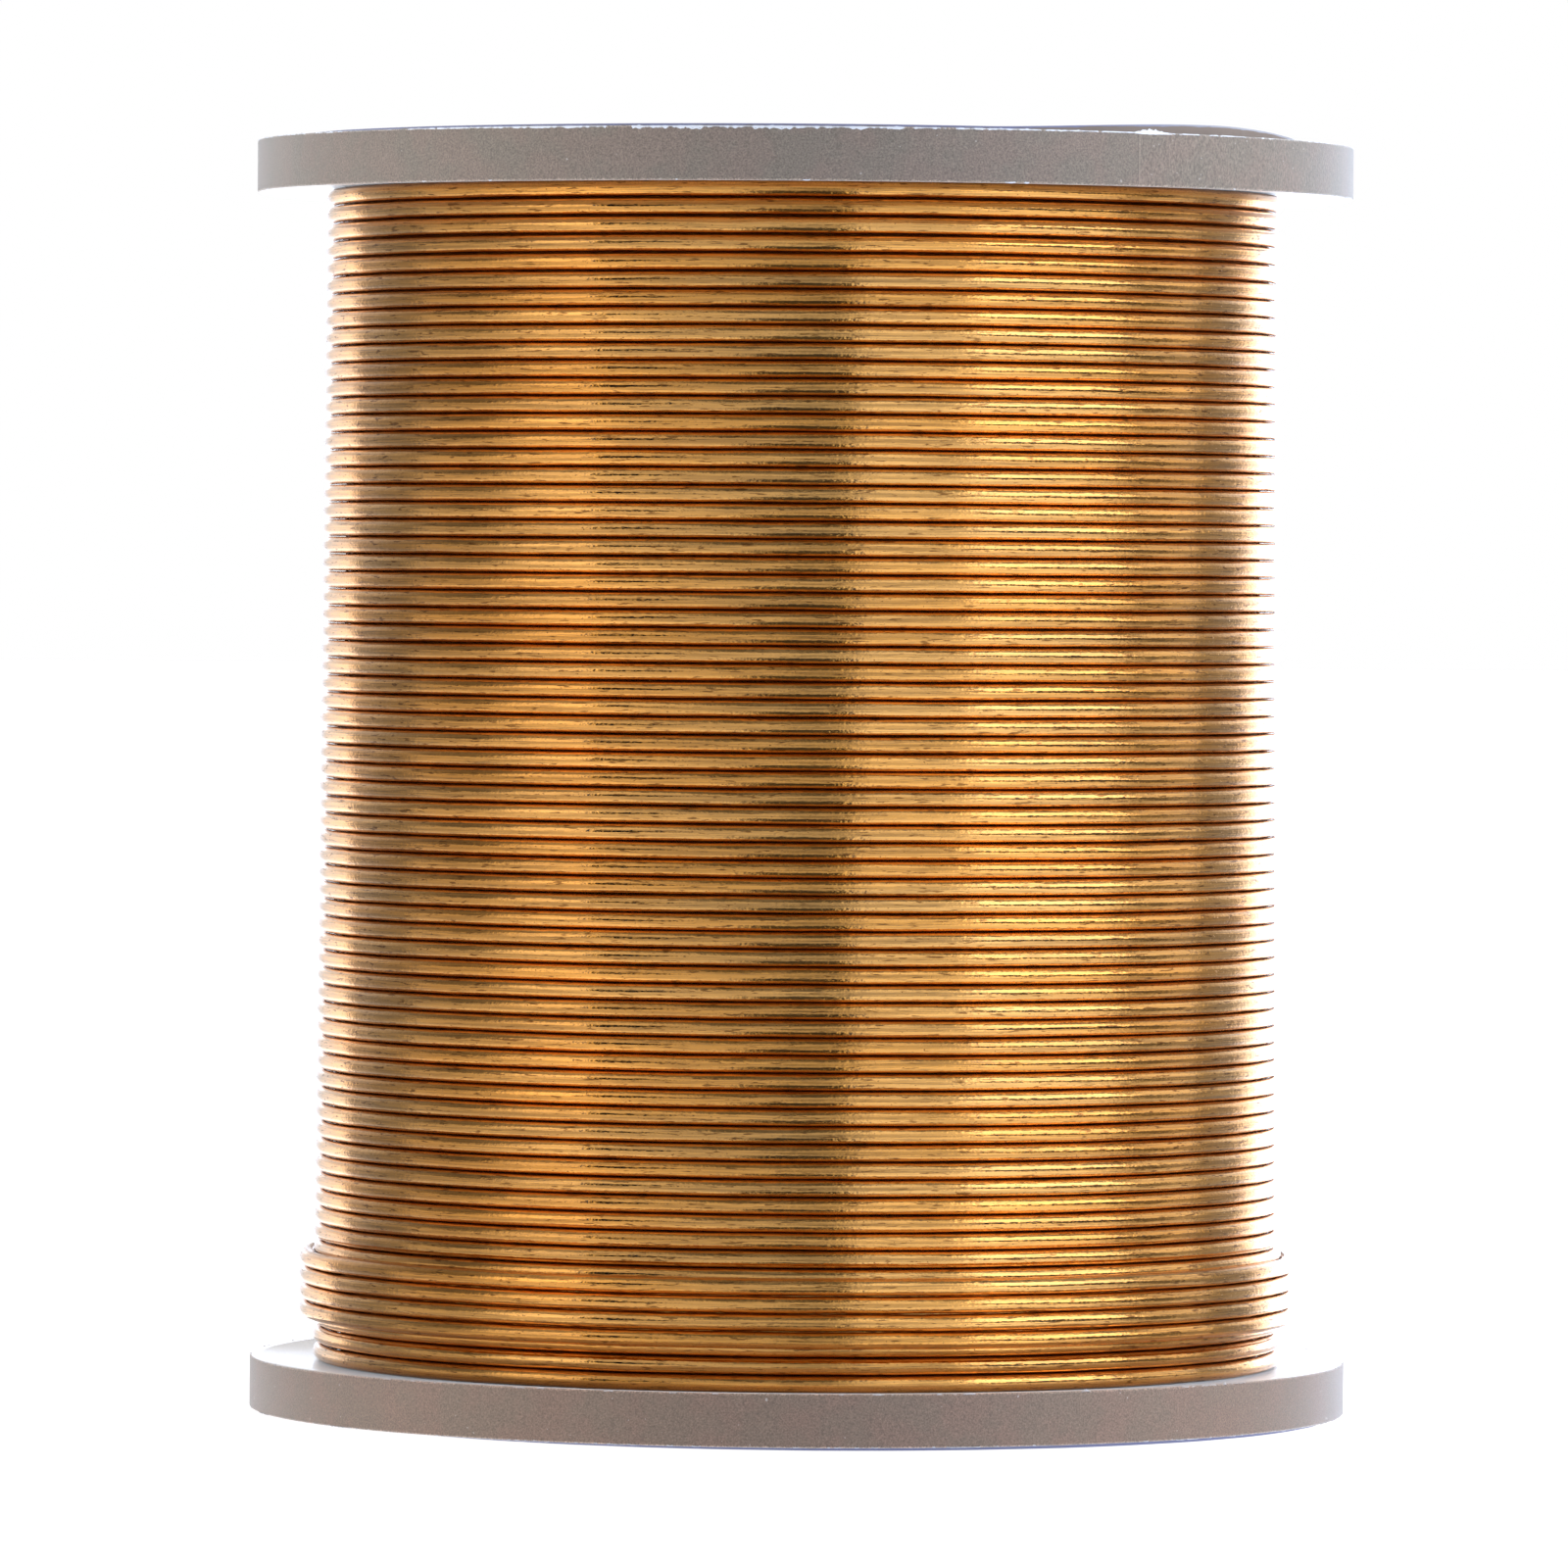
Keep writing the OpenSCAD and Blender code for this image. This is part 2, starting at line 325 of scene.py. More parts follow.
plasticLook = {
    "colour": (0.221, 0.178, 0.145, 1),
    "warm": (0.245, 0.182, 0.149, 1),
    "cool": (0.195, 0.178, 0.143, 1),
    "even": 0.62,  # share of the plain colour, over the cloudy one
    "flash": (0.80, 0.85, 0.93, 1),
    "grain": 15500.0,  # per metre
    "otherGrain": 12500.0,  # past the seam
    "clouds": 650.0,
    "grainDepth": 0.000016,
    "grainShade": (0.50, 1.50),  # factor on the tint, from the pits to the tops of the grain
    # On the edges' rounding this factor is partly wear and partly a painted highlight.
    "edgeWearAndHighlight": (1.05, 2.1),  # the same on worn edges
    # The flat faces' colour is multiplied up: painted light, for the white they mirror at a grazing
    # view.
    "paintedFaceGlow": 2.2,
    # Upright part of the normal: from the rim to its rounded edges, and on to the flat faces.
    "edgeLift": (0.15, 0.7),
    "flatLift": (0.88, 0.98),
    # The seam's pale and dark lines: a painted highlight and a painted shade.
    "seamPaintedHighlight": 1.35,
    "seamPaintedShade": 0.80,
    "seamStep": 0.00006,  # from the dark line to the pale one, metres
    "seamLine": (0.00001, 0.00004),  # distance from a line's middle at which it fades
    "roughness": (0.48, 0.62),  # from the pits to the tops of the grain
    "wornRoughness": 0.35,
    "faceRoughness": 0.06,  # the flat faces, polished where the rim is grained
    "sheen": 0.6,
    "sheenTint": (0.84, 0.92, 1.0, 1),
    # Each moulding's seam azimuth, and a painted tint on its rim against the others': on the lower
    # flange, painted shade, darker and warmer.
    "top": (-54.0, (1.0, 1.0, 1.0)),
    "bottom": (14.0, (0.96, 0.81, 0.73)),
    "barrel": (100.0, (1.0, 1.0, 1.0)),
    "dust": {"scale": 5200.0, "level": 0.77, "amount": 0.5, "colour": (0.62, 0.59, 0.56, 1)},
}


def makePlastic(name, seamAzimuth, paintedRimTint):
    # Warm grey moulding: fine eroded grain, cloudy tint, dust, and pale thin flash, with painted light
    # on its flat faces, rounded edges and seam, and painted shade on the lower flange's rim.
    look = plasticLook
    material, tree, shader = newMaterial(name)
    coordinates = addNode(tree, "ShaderNodeTexCoord").outputs
    spot = coordinates["Object"]
    grain, clouds = grained(tree, spot, look["grain"], look["clouds"])
    # Past the seam the other half of the mould has a coarser grain, drawn upright.
    turn = {"Vector": spot, "Rotation": (0, 0, math.radians(-seamAzimuth))}
    across = addNode(tree, "ShaderNodeMapping", turn).outputs["Vector"]
    past = addNode(tree, "ShaderNodeSeparateXYZ", {0: across}).outputs["Y"]
    upright = addNode(tree, "ShaderNodeMapping", {"Vector": spot, "Scale": (1, 1, 0.7)})
    coarse = noise(tree, upright.outputs["Vector"], look["otherGrain"], 2.0, 0.7)
    pits = blendValue(tree, remap(tree, past, -0.0001, 0.0001), grain, coarse)
    # Where the mould's halves meet, a painted highlight and a painted shade: a pale line with a dark
    # one just before it, for the light and shade on the seam's low ridge.
    before = maths(tree, "ADD", past, look["seamStep"])
    pale, paintedSeamShade = [
        remap(tree, maths(tree, "ABSOLUTE", away), *look["seamLine"], factor, 1.0)
        for away, factor in ((past, look["seamPaintedHighlight"]), (before, look["seamPaintedShade"]))
    ]
    # Flat faces and the edges' rounding are told by the upright part of their normal.
    lift = addNode(tree, "ShaderNodeSeparateXYZ", {0: coordinates["Normal"]}).outputs["Z"]
    lift = maths(tree, "ABSOLUTE", lift)
    flat = remap(tree, lift, *look["flatLift"])
    # worn marks the edges' rounding, where wear and a painted highlight go.
    worn = remap(tree, lift, *look["edgeLift"])
    tint = blendColour(tree, remap(tree, clouds, 0.38, 0.62), look["cool"], look["warm"])
    tint = blendColour(tree, look["even"], tint, look["colour"])
    # The rim, not the flat faces, takes the moulding's painted tint, which is painted shade on the
    # lower flange.
    tint = blendColour(tree, maths(tree, "SUBTRACT", 1.0, flat), tint, (*paintedRimTint, 1), "MULTIPLY")
    tint = shaded(tree, tint, remap(tree, pits, 0.25, 0.75, *look["grainShade"], smooth=False))
    # Painted highlight and shade of the seam.
    tint = shaded(tree, tint, maths(tree, "MULTIPLY", pale, paintedSeamShade))
    # Rounded edges: paler, partly rubbed wear and partly a painted highlight, and speckled where the
    # grain stands proud.
    rubbed = remap(tree, pits, 0.42, 0.66, *look["edgeWearAndHighlight"])
    # The flat faces take the painted face glow in place of the edges' factor.
    rubbed = blendValue(tree, flat, rubbed, look["paintedFaceGlow"])
    tint = shaded(tree, tint, blendValue(tree, worn, 1.0, rubbed))
    tint = dusted(tree, tint, spot, look["dust"])
    rough = remap(tree, pits, 0.3, 0.7, *look["roughness"])
    rough = blendValue(tree, worn, rough, look["wornRoughness"])
    strength = remap(tree, flat, 0.0, 1.0, 0.8, 0.03, smooth=False)
    setInputs(tree, shader, {
        "Base Color": blendColour(tree, attribute(tree, "flash"), tint, look["flash"]),
        "Roughness": blendValue(tree, flat, rough, look["faceRoughness"]),
        "Normal": bumped(tree, strength, look["grainDepth"], pits),
        "IOR": 1.52,
        "Sheen Weight": look["sheen"],
        "Sheen Roughness": 0.45,
        "Sheen Tint": look["sheenTint"],
    })
    return material


wireLook = {
    "copper": (0.96, 0.440, 0.083, 1),
    "pale": (0.95, 0.485, 0.122, 1),
    "oxide": (0.19, 0.072, 0.017, 1),
    "paintedGrooveShade": (0.74, 0.345, 0.080, 1),  # painted shade low down between two turns, where they meet
    "roughness": (0.038, 0.108),  # from the hollows to the tops of the drawn lines
    "spottedRoughness": 0.15,  # added where the wire is spotted
    "grooveRoughness": 0.35,  # and in the groove
    "coat": 0.6,
    "spottedCoat": 0.15,
    "coatRoughness": 0.03,
    "drawnDepth": 0.000006,
    # Scale along the wire and round it, place in the noise, detail and roughness.
    "patterns": {
        "drawn": (0.35, 20.0, 1.5, 3.0, 0.6),  # fine lines of the drawing die
        "bands": (0.16, 8.0, 5.5, 2.0, 0.5),  # broader ones
        "kinks": (0.45, 2.2, 21.5, 2.0, 0.5),  # slight bends and dents
        "beads": (5.5, 9.0, 25.5, 1.0, 0.5),  # the enamel's own ripple
        "hairs": (0.9, 26.0, 29.5, 1.0, 0.5),  # hair-thin dark scratches
        "flecks": (1.5, 11.0, 9.5, 2.0, 0.5),
        "pits": (9.0, 13.0, 13.5, 2.0, 0.5),
        "drift": (0.05, 0.6, 17.5, 1.0, 0.5),  # of the colour, along the wire
        "dulling": (0.035, 0.3, 33.5, 1.0, 0.5),  # one stretch is duller than the next
    },
    # From one value of a pattern to another, the factor on the tint.
    "dullShade": (0.32, 0.66, 0.86, 1.04),
    "streakShade": (0.40, 0.58, 0.66, 1.0),
    "hairShade": (0.62, 0.72, 1.0, 0.62),
    # Values of a pattern between which its spots set in.
    "fleckLevel": (0.615, 0.69),
    "pitLevel": (0.69, 0.75),
    # Places round the section between which the painted shade of the groove sets in. It reaches further
    # over the upper side of each turn.
    "grooveAbove": (0.29, 0.38),
    "grooveBelow": (-0.46, -0.39, 1.0, 0.0),
    "grooveShare": 0.85,
    # Height of each pattern, as a multiple of the drawn lines'.
    "relief": {"bands": 1.4, "kinks": 4.4, "beads": 2.0},
    "pitDepth": 0.8,
}


def makeWire(name):
    # Drawn wire under clear enamel. alongWire is the length in mm, aroundWire the place round
    # the section from -1 to 1, with 0 outwards, so every pattern is stretched along the wire.
    look = wireLook
    material, tree, shader = newMaterial(name)
    along = attribute(tree, "alongWire")
    around = attribute(tree, "aroundWire")
    made = {}
    for pattern, (alongScale, aroundScale, layer, detail, roughness) in look["patterns"].items():
        x = maths(tree, "MULTIPLY", along, alongScale)
        y = maths(tree, "MULTIPLY", around, aroundScale)
        spot = addNode(tree, "ShaderNodeCombineXYZ", {0: x, 1: y, 2: layer}).outputs[0]
        made[pattern] = noise(tree, spot, 1.0, detail, roughness)
    drawn, bands = made["drawn"], made["bands"]
    tint = blendColour(tree, remap(tree, made["drift"], 0.35, 0.65), look["copper"], look["pale"])
    streak = maths(tree, "MULTIPLY_ADD", bands, 0.4, maths(tree, "MULTIPLY", drawn, 0.6))
    tint = shaded(tree, tint, remap(tree, made["dulling"], *look["dullShade"]))
    tint = shaded(tree, tint, remap(tree, streak, *look["streakShade"]))
    tint = shaded(tree, tint, remap(tree, made["hairs"], *look["hairShade"]))
    fleck = maths(tree, "MULTIPLY", remap(tree, made["flecks"], *look["fleckLevel"]), 0.8)
    pit = remap(tree, made["pits"], *look["pitLevel"])
    spotted = maths(tree, "MAXIMUM", fleck, maths(tree, "MULTIPLY", pit, 0.85))
    tint = blendColour(tree, spotted, tint, look["oxide"])
    # sunk: painted shade in the groove between two turns, a darker, rougher copper.
    uneven = maths(tree, "MULTIPLY_ADD", maths(tree, "SUBTRACT", bands, 0.5), 0.12, around)
    above, below = [remap(tree, uneven, *look[side]) for side in ("grooveAbove", "grooveBelow")]
    sunk = maths(tree, "MULTIPLY", maths(tree, "ADD", above, below), look["grooveShare"])
    rough = remap(tree, drawn, 0.3, 0.7, *look["roughness"])
    rough = maths(tree, "MULTIPLY_ADD", spotted, look["spottedRoughness"], rough)
    height = drawn
    for pattern, amount in look["relief"].items():
        height = maths(tree, "MULTIPLY_ADD", made[pattern], amount, height)
    height = maths(tree, "MULTIPLY_ADD", pit, -look["pitDepth"], height)
    setInputs(tree, shader, {
        "Base Color": blendColour(tree, sunk, tint, look["paintedGrooveShade"]),
        "Metallic": 1.0,
        "Roughness": maths(tree, "MULTIPLY_ADD", sunk, look["grooveRoughness"], rough),
        "Normal": bumped(tree, 0.7, look["drawnDepth"], height),
        "Coat Weight": remap(tree, spotted, 0.0, 0.8, look["coat"], look["spottedCoat"]),
        "Coat Roughness": look["coatRoughness"],
        "Coat IOR": 1.5,
    })
    return material


paperLook = {
    "colour": (0.60, 0.635, 0.650, 1),
    "worn": (0.50, 0.530, 0.530, 1),
    "edge": (0.22, 0.245, 0.42, 1),
    "back": (0.255, 0.215, 0.190, 1),
    "fibres": 2600.0,  # per metre
    "scuffs": 160.0,
    "fibreDepth": 0.00002,
    "roughness": (0.54, 0.70),
    "dust": {"scale": 2400.0, "level": 0.70, "amount": 0.4, "colour": (0.30, 0.27, 0.24, 1)},
}


def makePaper(name):
    # Bare coated paper: faint fibres, scuffs, and a coloured cut edge and glued back.
    look = paperLook
    material, tree, shader = newMaterial(name)
    spot = addNode(tree, "ShaderNodeTexCoord").outputs["Object"]
    fibres, scuffs = grained(tree, spot, look["fibres"], look["scuffs"])
    worn = maths(tree, "MULTIPLY", remap(tree, scuffs, 0.45, 0.7), 0.6)
    tint = blendColour(tree, worn, look["colour"], look["worn"])
    tint = shaded(tree, tint, remap(tree, fibres, 0.3, 0.7, 0.93, 1.05, smooth=False))
    tint = dusted(tree, tint, spot, look["dust"])
    tint = blendColour(tree, attribute(tree, "gluedBack"), tint, look["back"])
    setInputs(tree, shader, {
        "Base Color": blendColour(tree, attribute(tree, "cutEdge"), tint, look["edge"]),
        "Roughness": remap(tree, fibres, 0.3, 0.7, *look["roughness"]),
        "Normal": bumped(tree, 0.4, look["fibreDepth"], fibres),
    })
    return material


# One plastic in three copies; the lower flange's rim is darkened with painted shade.
topPlastic = makePlastic("topFlangePlastic", *plasticLook["top"])
bottomPlastic = makePlastic("bottomFlangePlastic", *plasticLook["bottom"])
barrelPlastic = makePlastic("barrelPlastic", *plasticLook["barrel"])
copperWire = makeWire("enamelledWire")
labelPaper = makePaper("labelPaper")
print("materials made")


def finishPiece(piece, node, material):
    piece.data.materials.clear()
    piece.data.materials.append(material)
    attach(piece, "root")
    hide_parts(node)
    print(f"{piece.name}: {len(piece.data.polygons)} faces")


spool = {
    "lowFace": 0.13,  # outer face of the lower flange, mm
    "lowInner": 2.03,  # its inner face
    "topInner": 44.43,
    "topFace": 46.33,
    "rim": 20.0,
    "slitAzimuth": 70.0,
    "channelAzimuth": 130.0,
    "startRadius": 12.9,  # where the wire's start comes up through the flange
}

flange = {
    "segments": 360,
    "edge": 0.09,  # radius of the rim's edges
    "hole": 7.05,
    "spigotOuter": 10.95,
    "spigotInner": 9.55,
    "spigotDepth": 3.0,
    "slitWidth": 0.8,
    "slitReach": 18.08,  # radius at which the slit ends
    "channelStart": 12.5,
    "channelEnd": 17.9,
    "channelWidth": 0.8,
    "channelDepth": 0.8,
    "dish": 0.16,  # how far the inner face lies behind its lip
    "dishRadii": (12.60, 12.80, 17.90, 19.60),  # where it steps back, and where it returns
    "ridge": {"height": 0.019, "halfWidth": 0.026, "pale": 0.30},  # the seam's witness line
    "burr": {"from": -0.6, "to": 4.2, "height": 0.115},  # in degrees past the seam
    # Flash on the edges: the azimuths that it lies between and where it is full, the share of
    # the edge that it covers there, how fast that falls away, how far the full stretch reaches,
    # its height, its spikes, its drop beside the edge, and how pale it is.
    "topOuter": {
        "from": -144, "to": -27, "full": -97, "cover": 0.85, "fall": 0.9, "reach": 24,
        "tall": 0.006, "spike": 0.02, "drop": 0.06, "pale": 1.0,
    },
    "topInner": {
        "from": -80, "to": -20, "full": -58, "cover": -0.35, "fall": 0.0, "reach": 10,
        "tall": 0.012, "spike": 0.02, "drop": 0.03, "pale": 0.9,
    },
    "bottomOuter": {
        "from": 20, "to": 60, "full": 40, "cover": 0.0, "fall": 0.0, "reach": 10,
        "tall": 0.004, "spike": 0.01, "drop": 0.03, "pale": 0.6,
    },
    "bottomInner": {
        "from": 165, "to": 295, "full": 214, "cover": -0.12, "fall": 0.0, "reach": 8,
        "tall": 0.010, "spike": 0.06, "drop": 0.010, "pale": 0.45,
    },
}


def box(name, low, high):
    # Closed box between two corners: a ring of four points below and the same ring above.
    x, y, z = zip(low, high)
    ring = ((0, 0), (1, 0), (1, 1), (0, 1))
    points = np.array([(x[i], y[j], z[k]) for k in (0, 1) for i, j in ring], float)
    sides = [(0, 1, 5, 4), (1, 2, 6, 5), (2, 3, 7, 6), (3, 0, 4, 7)]
    return addMesh(name, points, np.array([(3, 2, 1, 0), (4, 5, 6, 7), *sides]), smooth=False)


def cut(piece, cutter):
    # Takes the cutter out of the piece and deletes the cutter.
    modifier = piece.modifiers.new("cut", "BOOLEAN")
    modifier.operation = "DIFFERENCE"
    modifier.solver = "EXACT"
    modifier.object = cutter
    with bpy.context.temp_override(object=piece, active_object=piece):
        bpy.ops.object.modifier_apply(modifier=modifier.name)
    bpy.data.objects.remove(cutter)


def flashFin(name, radius, height, towards, look, seed):
    # Flash along an edge: a ring whose sections are an inner foot, a tip and an outer foot. Each
    # is hidden + amount x (shown - hidden), where the hidden points lie inside the edge's
    # rounding, so the flash comes and goes along the rim.
    segments = 2400
    azimuth = evenly(segments)
    draw = np.random.default_rng(seed)
    fine = np.convolve(draw.random(segments + 8), np.ones(3) / 3, "same")[4:-4] - 0.5
    broad = waves(azimuth, 1.0, 40, 1.6, 14, seed + 1)
    turned = azimuth - flangeTurn
    inside = ease((turned - look["from"]) % 360 / 12) * ease((look["to"] - turned) % 360 / 12)
    away = np.abs(signed(turned - look["full"]))
    wide = np.exp(-((away / look["reach"]) ** 2))
    cover = look["cover"] - look["fall"] * away / 90
    amount = inside * ease((cover + 0.3 * broad + 0.6 * fine) / 0.4)
    ragged = 0.5 + 0.35 * waves(azimuth, 1.0, 12, 0.7, 12, seed + 2) + 0.8 * fine
    ragged = np.clip(ragged, 0.05, 1.8)
    spikes = np.convolve((draw.random(segments) > 0.985).astype(float), [0.35, 1, 0.5], "same")
    tip = look["tall"] * ragged + look["spike"] * spikes
    drop = look["drop"] * (0.25 + 1.5 * wide * ragged)

    def section(hiddenRadius, hiddenDepth, shownRadius, shownRise):
        across = radius + hiddenRadius + amount * (shownRadius - hiddenRadius)
        along = -hiddenDepth + amount * (shownRise + hiddenDepth)
        return polar(across, azimuth, height + towards * along)

    inner = section(-0.09, 0.03, -0.05, -0.012)
    middle = section(-0.05, 0.04, -0.012 + 0.3 * tip, tip)
    outer = section(-0.04, 0.09, 0.003, -0.02 - drop)
    sections = np.stack([outer, middle, inner] if towards > 0 else [inner, middle, outer], 1)
    strength = look["pale"] * (0.55 + 0.45 * np.clip(amount * ragged * 1.6, 0, 1))
    return addSweep(name, sections, {"flash": strength[:, None]})


def seamRidge(low, high):
    # Witness line where the mould's halves meet: a low half-round bar up the rim, in the
    # moulding's own frame, wandering a little.
    look = flange["ridge"]
    heights = np.linspace(low + 0.12, high - 0.1, 24)
    around = np.radians(np.array([-100, -50, 0, 50, 100, 180]))
    centre = flangeSeam + 0.02 * np.sin(heights * 5)
    fade = ease((heights - low - 0.5) / 0.7)
    uneven = 0.65 + 0.35 * np.sin(heights * 3.1 + 1)
    reach = look["height"] * uneven * np.clip((high - heights) / 0.3, 0.1, 1) * fade
    radius = spool["rim"] - 0.008 + reach[:, None] * np.cos(around)
    side = look["halfWidth"] * np.sin(around) / spool["rim"]
    points = polar(radius, centre[:, None] + np.degrees(side), heights[:, None])
    pale = look["pale"] * fade[:, None]
    return addSweep("seam", points, {"flash": pale}, ring=False, flipped=True)


def burr(high):
    # Torn burr on the upper edge beside the seam: a lens of plastic that stands up, its height
    # a smooth hump times a ragged one.
    look, rim = flange["burr"], spool["rim"]
    azimuth = np.linspace(flangeSeam + look["from"], flangeSeam + look["to"], 44)
    share = np.linspace(0, 1, len(azimuth))
    hump = np.sin(share * math.pi) ** 0.8 * (0.55 + 0.45 * np.sin(share * math.pi * 1.3 + 0.4))
    ragged = 1 + 0.25 * np.sin(share * 37) + 0.15 * np.sin(share * 71 + 1)
    tip = 0.004 + look["height"] * hump * ragged
    inner = polar(rim - 0.10, azimuth, high - 0.04)
    middle = polar(rim - 0.02 + 0.3 * tip, azimuth, high + tip)
    outer = polar(rim + 0.012, azimuth, high - 0.05 - 0.2 * tip)
    return addSweep("burr", np.stack([outer, middle, inner], 1), {"flash": 1.0}, ring=False)


def makeFlange(name, seed, outerLook, innerLook, torn):
    # One flange moulding, drawn as the top flange with its slit towards +X: a turned profile,
    # cut by the rim slit and the start channel, with its flash and the mould's seam. The inner
    # face is dished a little inside its lip.
    low, high, rim, edge = spool["topInner"], spool["topFace"], spool["rim"], flange["edge"]
    spigotEnd, dished = low - flange["spigotDepth"], low + flange["dish"]
    stepBack, dishStart, dishEnd, lip = flange["dishRadii"]
    profile = rounded([
        (flange["hole"], low, 0),
        (flange["spigotInner"], low, 0.15),
        (flange["spigotInner"], spigotEnd, 0.2),
        (flange["spigotOuter"], spigotEnd, 0.3),
        (flange["spigotOuter"], low, 0),
        (stepBack, low, 0),
        (dishStart, dished, 0),
        (dishEnd, dished, 0),
        (lip, low, 0.3),
        (rim, low, edge),
        (rim, high, edge),
        (rim - 1.2, high, 0),
        (flange["hole"] + 0.6, high, 0),
        (flange["hole"], high, 0.12),
    ])
    body = lathe(name, profile, flange["segments"])
    half = flange["slitWidth"] / 2
    cut(body, box("slit", (flange["slitReach"], -half, low - 1), (rim + 1, half, high + 1)))
    half, floor = flange["channelWidth"] / 2, high - flange["channelDepth"]
    start, end = flange["channelStart"], flange["channelEnd"]
    channel = box("channel", (start, -half, floor), (end, half, high + 1))
    hole = lathe("hole", [(0.002, low - 1), (half, low - 1), (half, high + 1), (0.002, high + 1)], 24)
    moveMesh(hole, (spool["startRadius"], 0, 0))
    for cutter in (channel, hole):
        turnMesh(cutter, spool["channelAzimuth"] - spool["slitAzimuth"])
        cut(body, cutter)
    smoothFaces(body.data)
    body.data.attributes.new("flash", "FLOAT", "POINT")
    extras = [
        flashFin("outerFin", rim, high, 1, outerLook, seed),
        flashFin("innerFin", rim, low, -1, innerLook, seed + 10),
        seamRidge(low, high),
    ]
    if torn:
        extras.append(burr(high))
    return joinPieces(name, [body, *extras])


def turnMesh(piece, degrees, axis=2):
    # Turns a piece's points about an axis through the origin.
    cosine, sine = math.cos(math.radians(degrees)), math.sin(math.radians(degrees))
    matrix = np.eye(3)
    a, b = [(1, 2), (2, 0), (0, 1)][axis]
    matrix[a, a] = matrix[b, b] = cosine
    matrix[a, b], matrix[b, a] = -sine, sine
    changePoints(piece, lambda points: points @ matrix.T)


def moveMesh(piece, offset):
    changePoints(piece, lambda points: points + np.array(offset) * mm)


def changePoints(piece, rule):
    count = len(piece.data.vertices)
    points = np.empty(count * 3, np.float32)
    piece.data.vertices.foreach_get("co", points)
    points = rule(points.reshape(-1, 3).astype(float))
    piece.data.vertices.foreach_set("co", points.astype(np.float32).ravel())
    piece.data.update()


# The moulding is drawn with its slit towards +X, so its turn to its place is taken off azimuths.
flangeTurn = -spool["slitAzimuth"]
flangeSeam = plasticLook["top"][0] + flangeTurn

topFlange = makeFlange("topFlange", 11, flange["topOuter"], flange["topInner"], True)
turnMesh(topFlange, spool["slitAzimuth"])
finishPiece(topFlange, "top_flange", topPlastic)

bottomFlange = makeFlange("bottomFlange", 51, flange["bottomOuter"], flange["bottomInner"], False)
turnMesh(bottomFlange, 180, axis=0)
moveMesh(bottomFlange, (0, 0, spool["lowFace"] + spool["topFace"]))
turnMesh(bottomFlange, spool["slitAzimuth"])
finishPiece(bottomFlange, "bottom_flange", bottomPlastic)

barrel = {
    "bore": 5.5,
    "hub": 7.0,
    "inner": 11.0,
    "outer": 12.5,
    "webs": 6,
    "webWidth": 1.2,
    "webLow": 5.43,
    "webHigh": 41.03,
    "webSunk": 0.5,  # how far a web's ends reach into the two tubes
}


def makeBarrel():
    # Hub tube and wound tube as turned profiles, joined by flat webs.
    bore, hub, inner, outer = [barrel[key] for key in ("bore", "hub", "inner", "outer")]
    low, high = spool["lowFace"], spool["topFace"]
    hubProfile = [(bore, low, 0.25), (hub, low, 0.12), (hub, high, 0.12), (bore, high, 0.25)]
    low, high = spool["lowInner"], spool["topInner"]
    tubeProfile = [(inner, low, 0.2), (outer, low, 0.1), (outer, high, 0.1), (inner, high, 0.2)]
    parts = [lathe("hub", rounded(hubProfile), 256), lathe("tube", rounded(tubeProfile), 192)]
    half, sunk = barrel["webWidth"] / 2, barrel["webSunk"]
    for index in range(barrel["webs"]):
        ends = (hub - sunk, -half, barrel["webLow"]), (inner + sunk, half, barrel["webHigh"])
        web = box("web", *ends)
        turnMesh(web, 360 * index / barrel["webs"])
        parts.append(web)
    return joinPieces("barrelMoulding", parts)


finishPiece(makeBarrel(), "barrel", barrelPlastic)

label = {
    "outer": 18.6,
    "hole": 7.3,
    "thick": 0.13,
    "segments": 480,
    "lift": 0.285,  # height of the blister at the edge, mm
    "liftFrom": -70.0,  # azimuths between which the upper label has come unstuck
    "liftPeak": -38.5,
    "liftTo": -18.8,
    "liftRadius": 13.5,
    "line": 0.062,  # height of the coloured line on the upper label's edge
    "lowLine": 0.110,  # and on the lower label's
    "offset": 0.95,  # how far the lower label's edge is cut off-centre
    "offsetTo": -45.0,  # and the azimuth towards which it is
    "wander": 0.02,  # how uneven the edge is cut
    "rubbed": 0.55,  # how much of the line's colour is gone along the blister
    "rubbedFrom": -62.0,
    "proud": 0.006,  # how far the edge's stops stand out, and lie from its corners
    "hair": 0.002,  # half the distance over which the line's colour ends
}


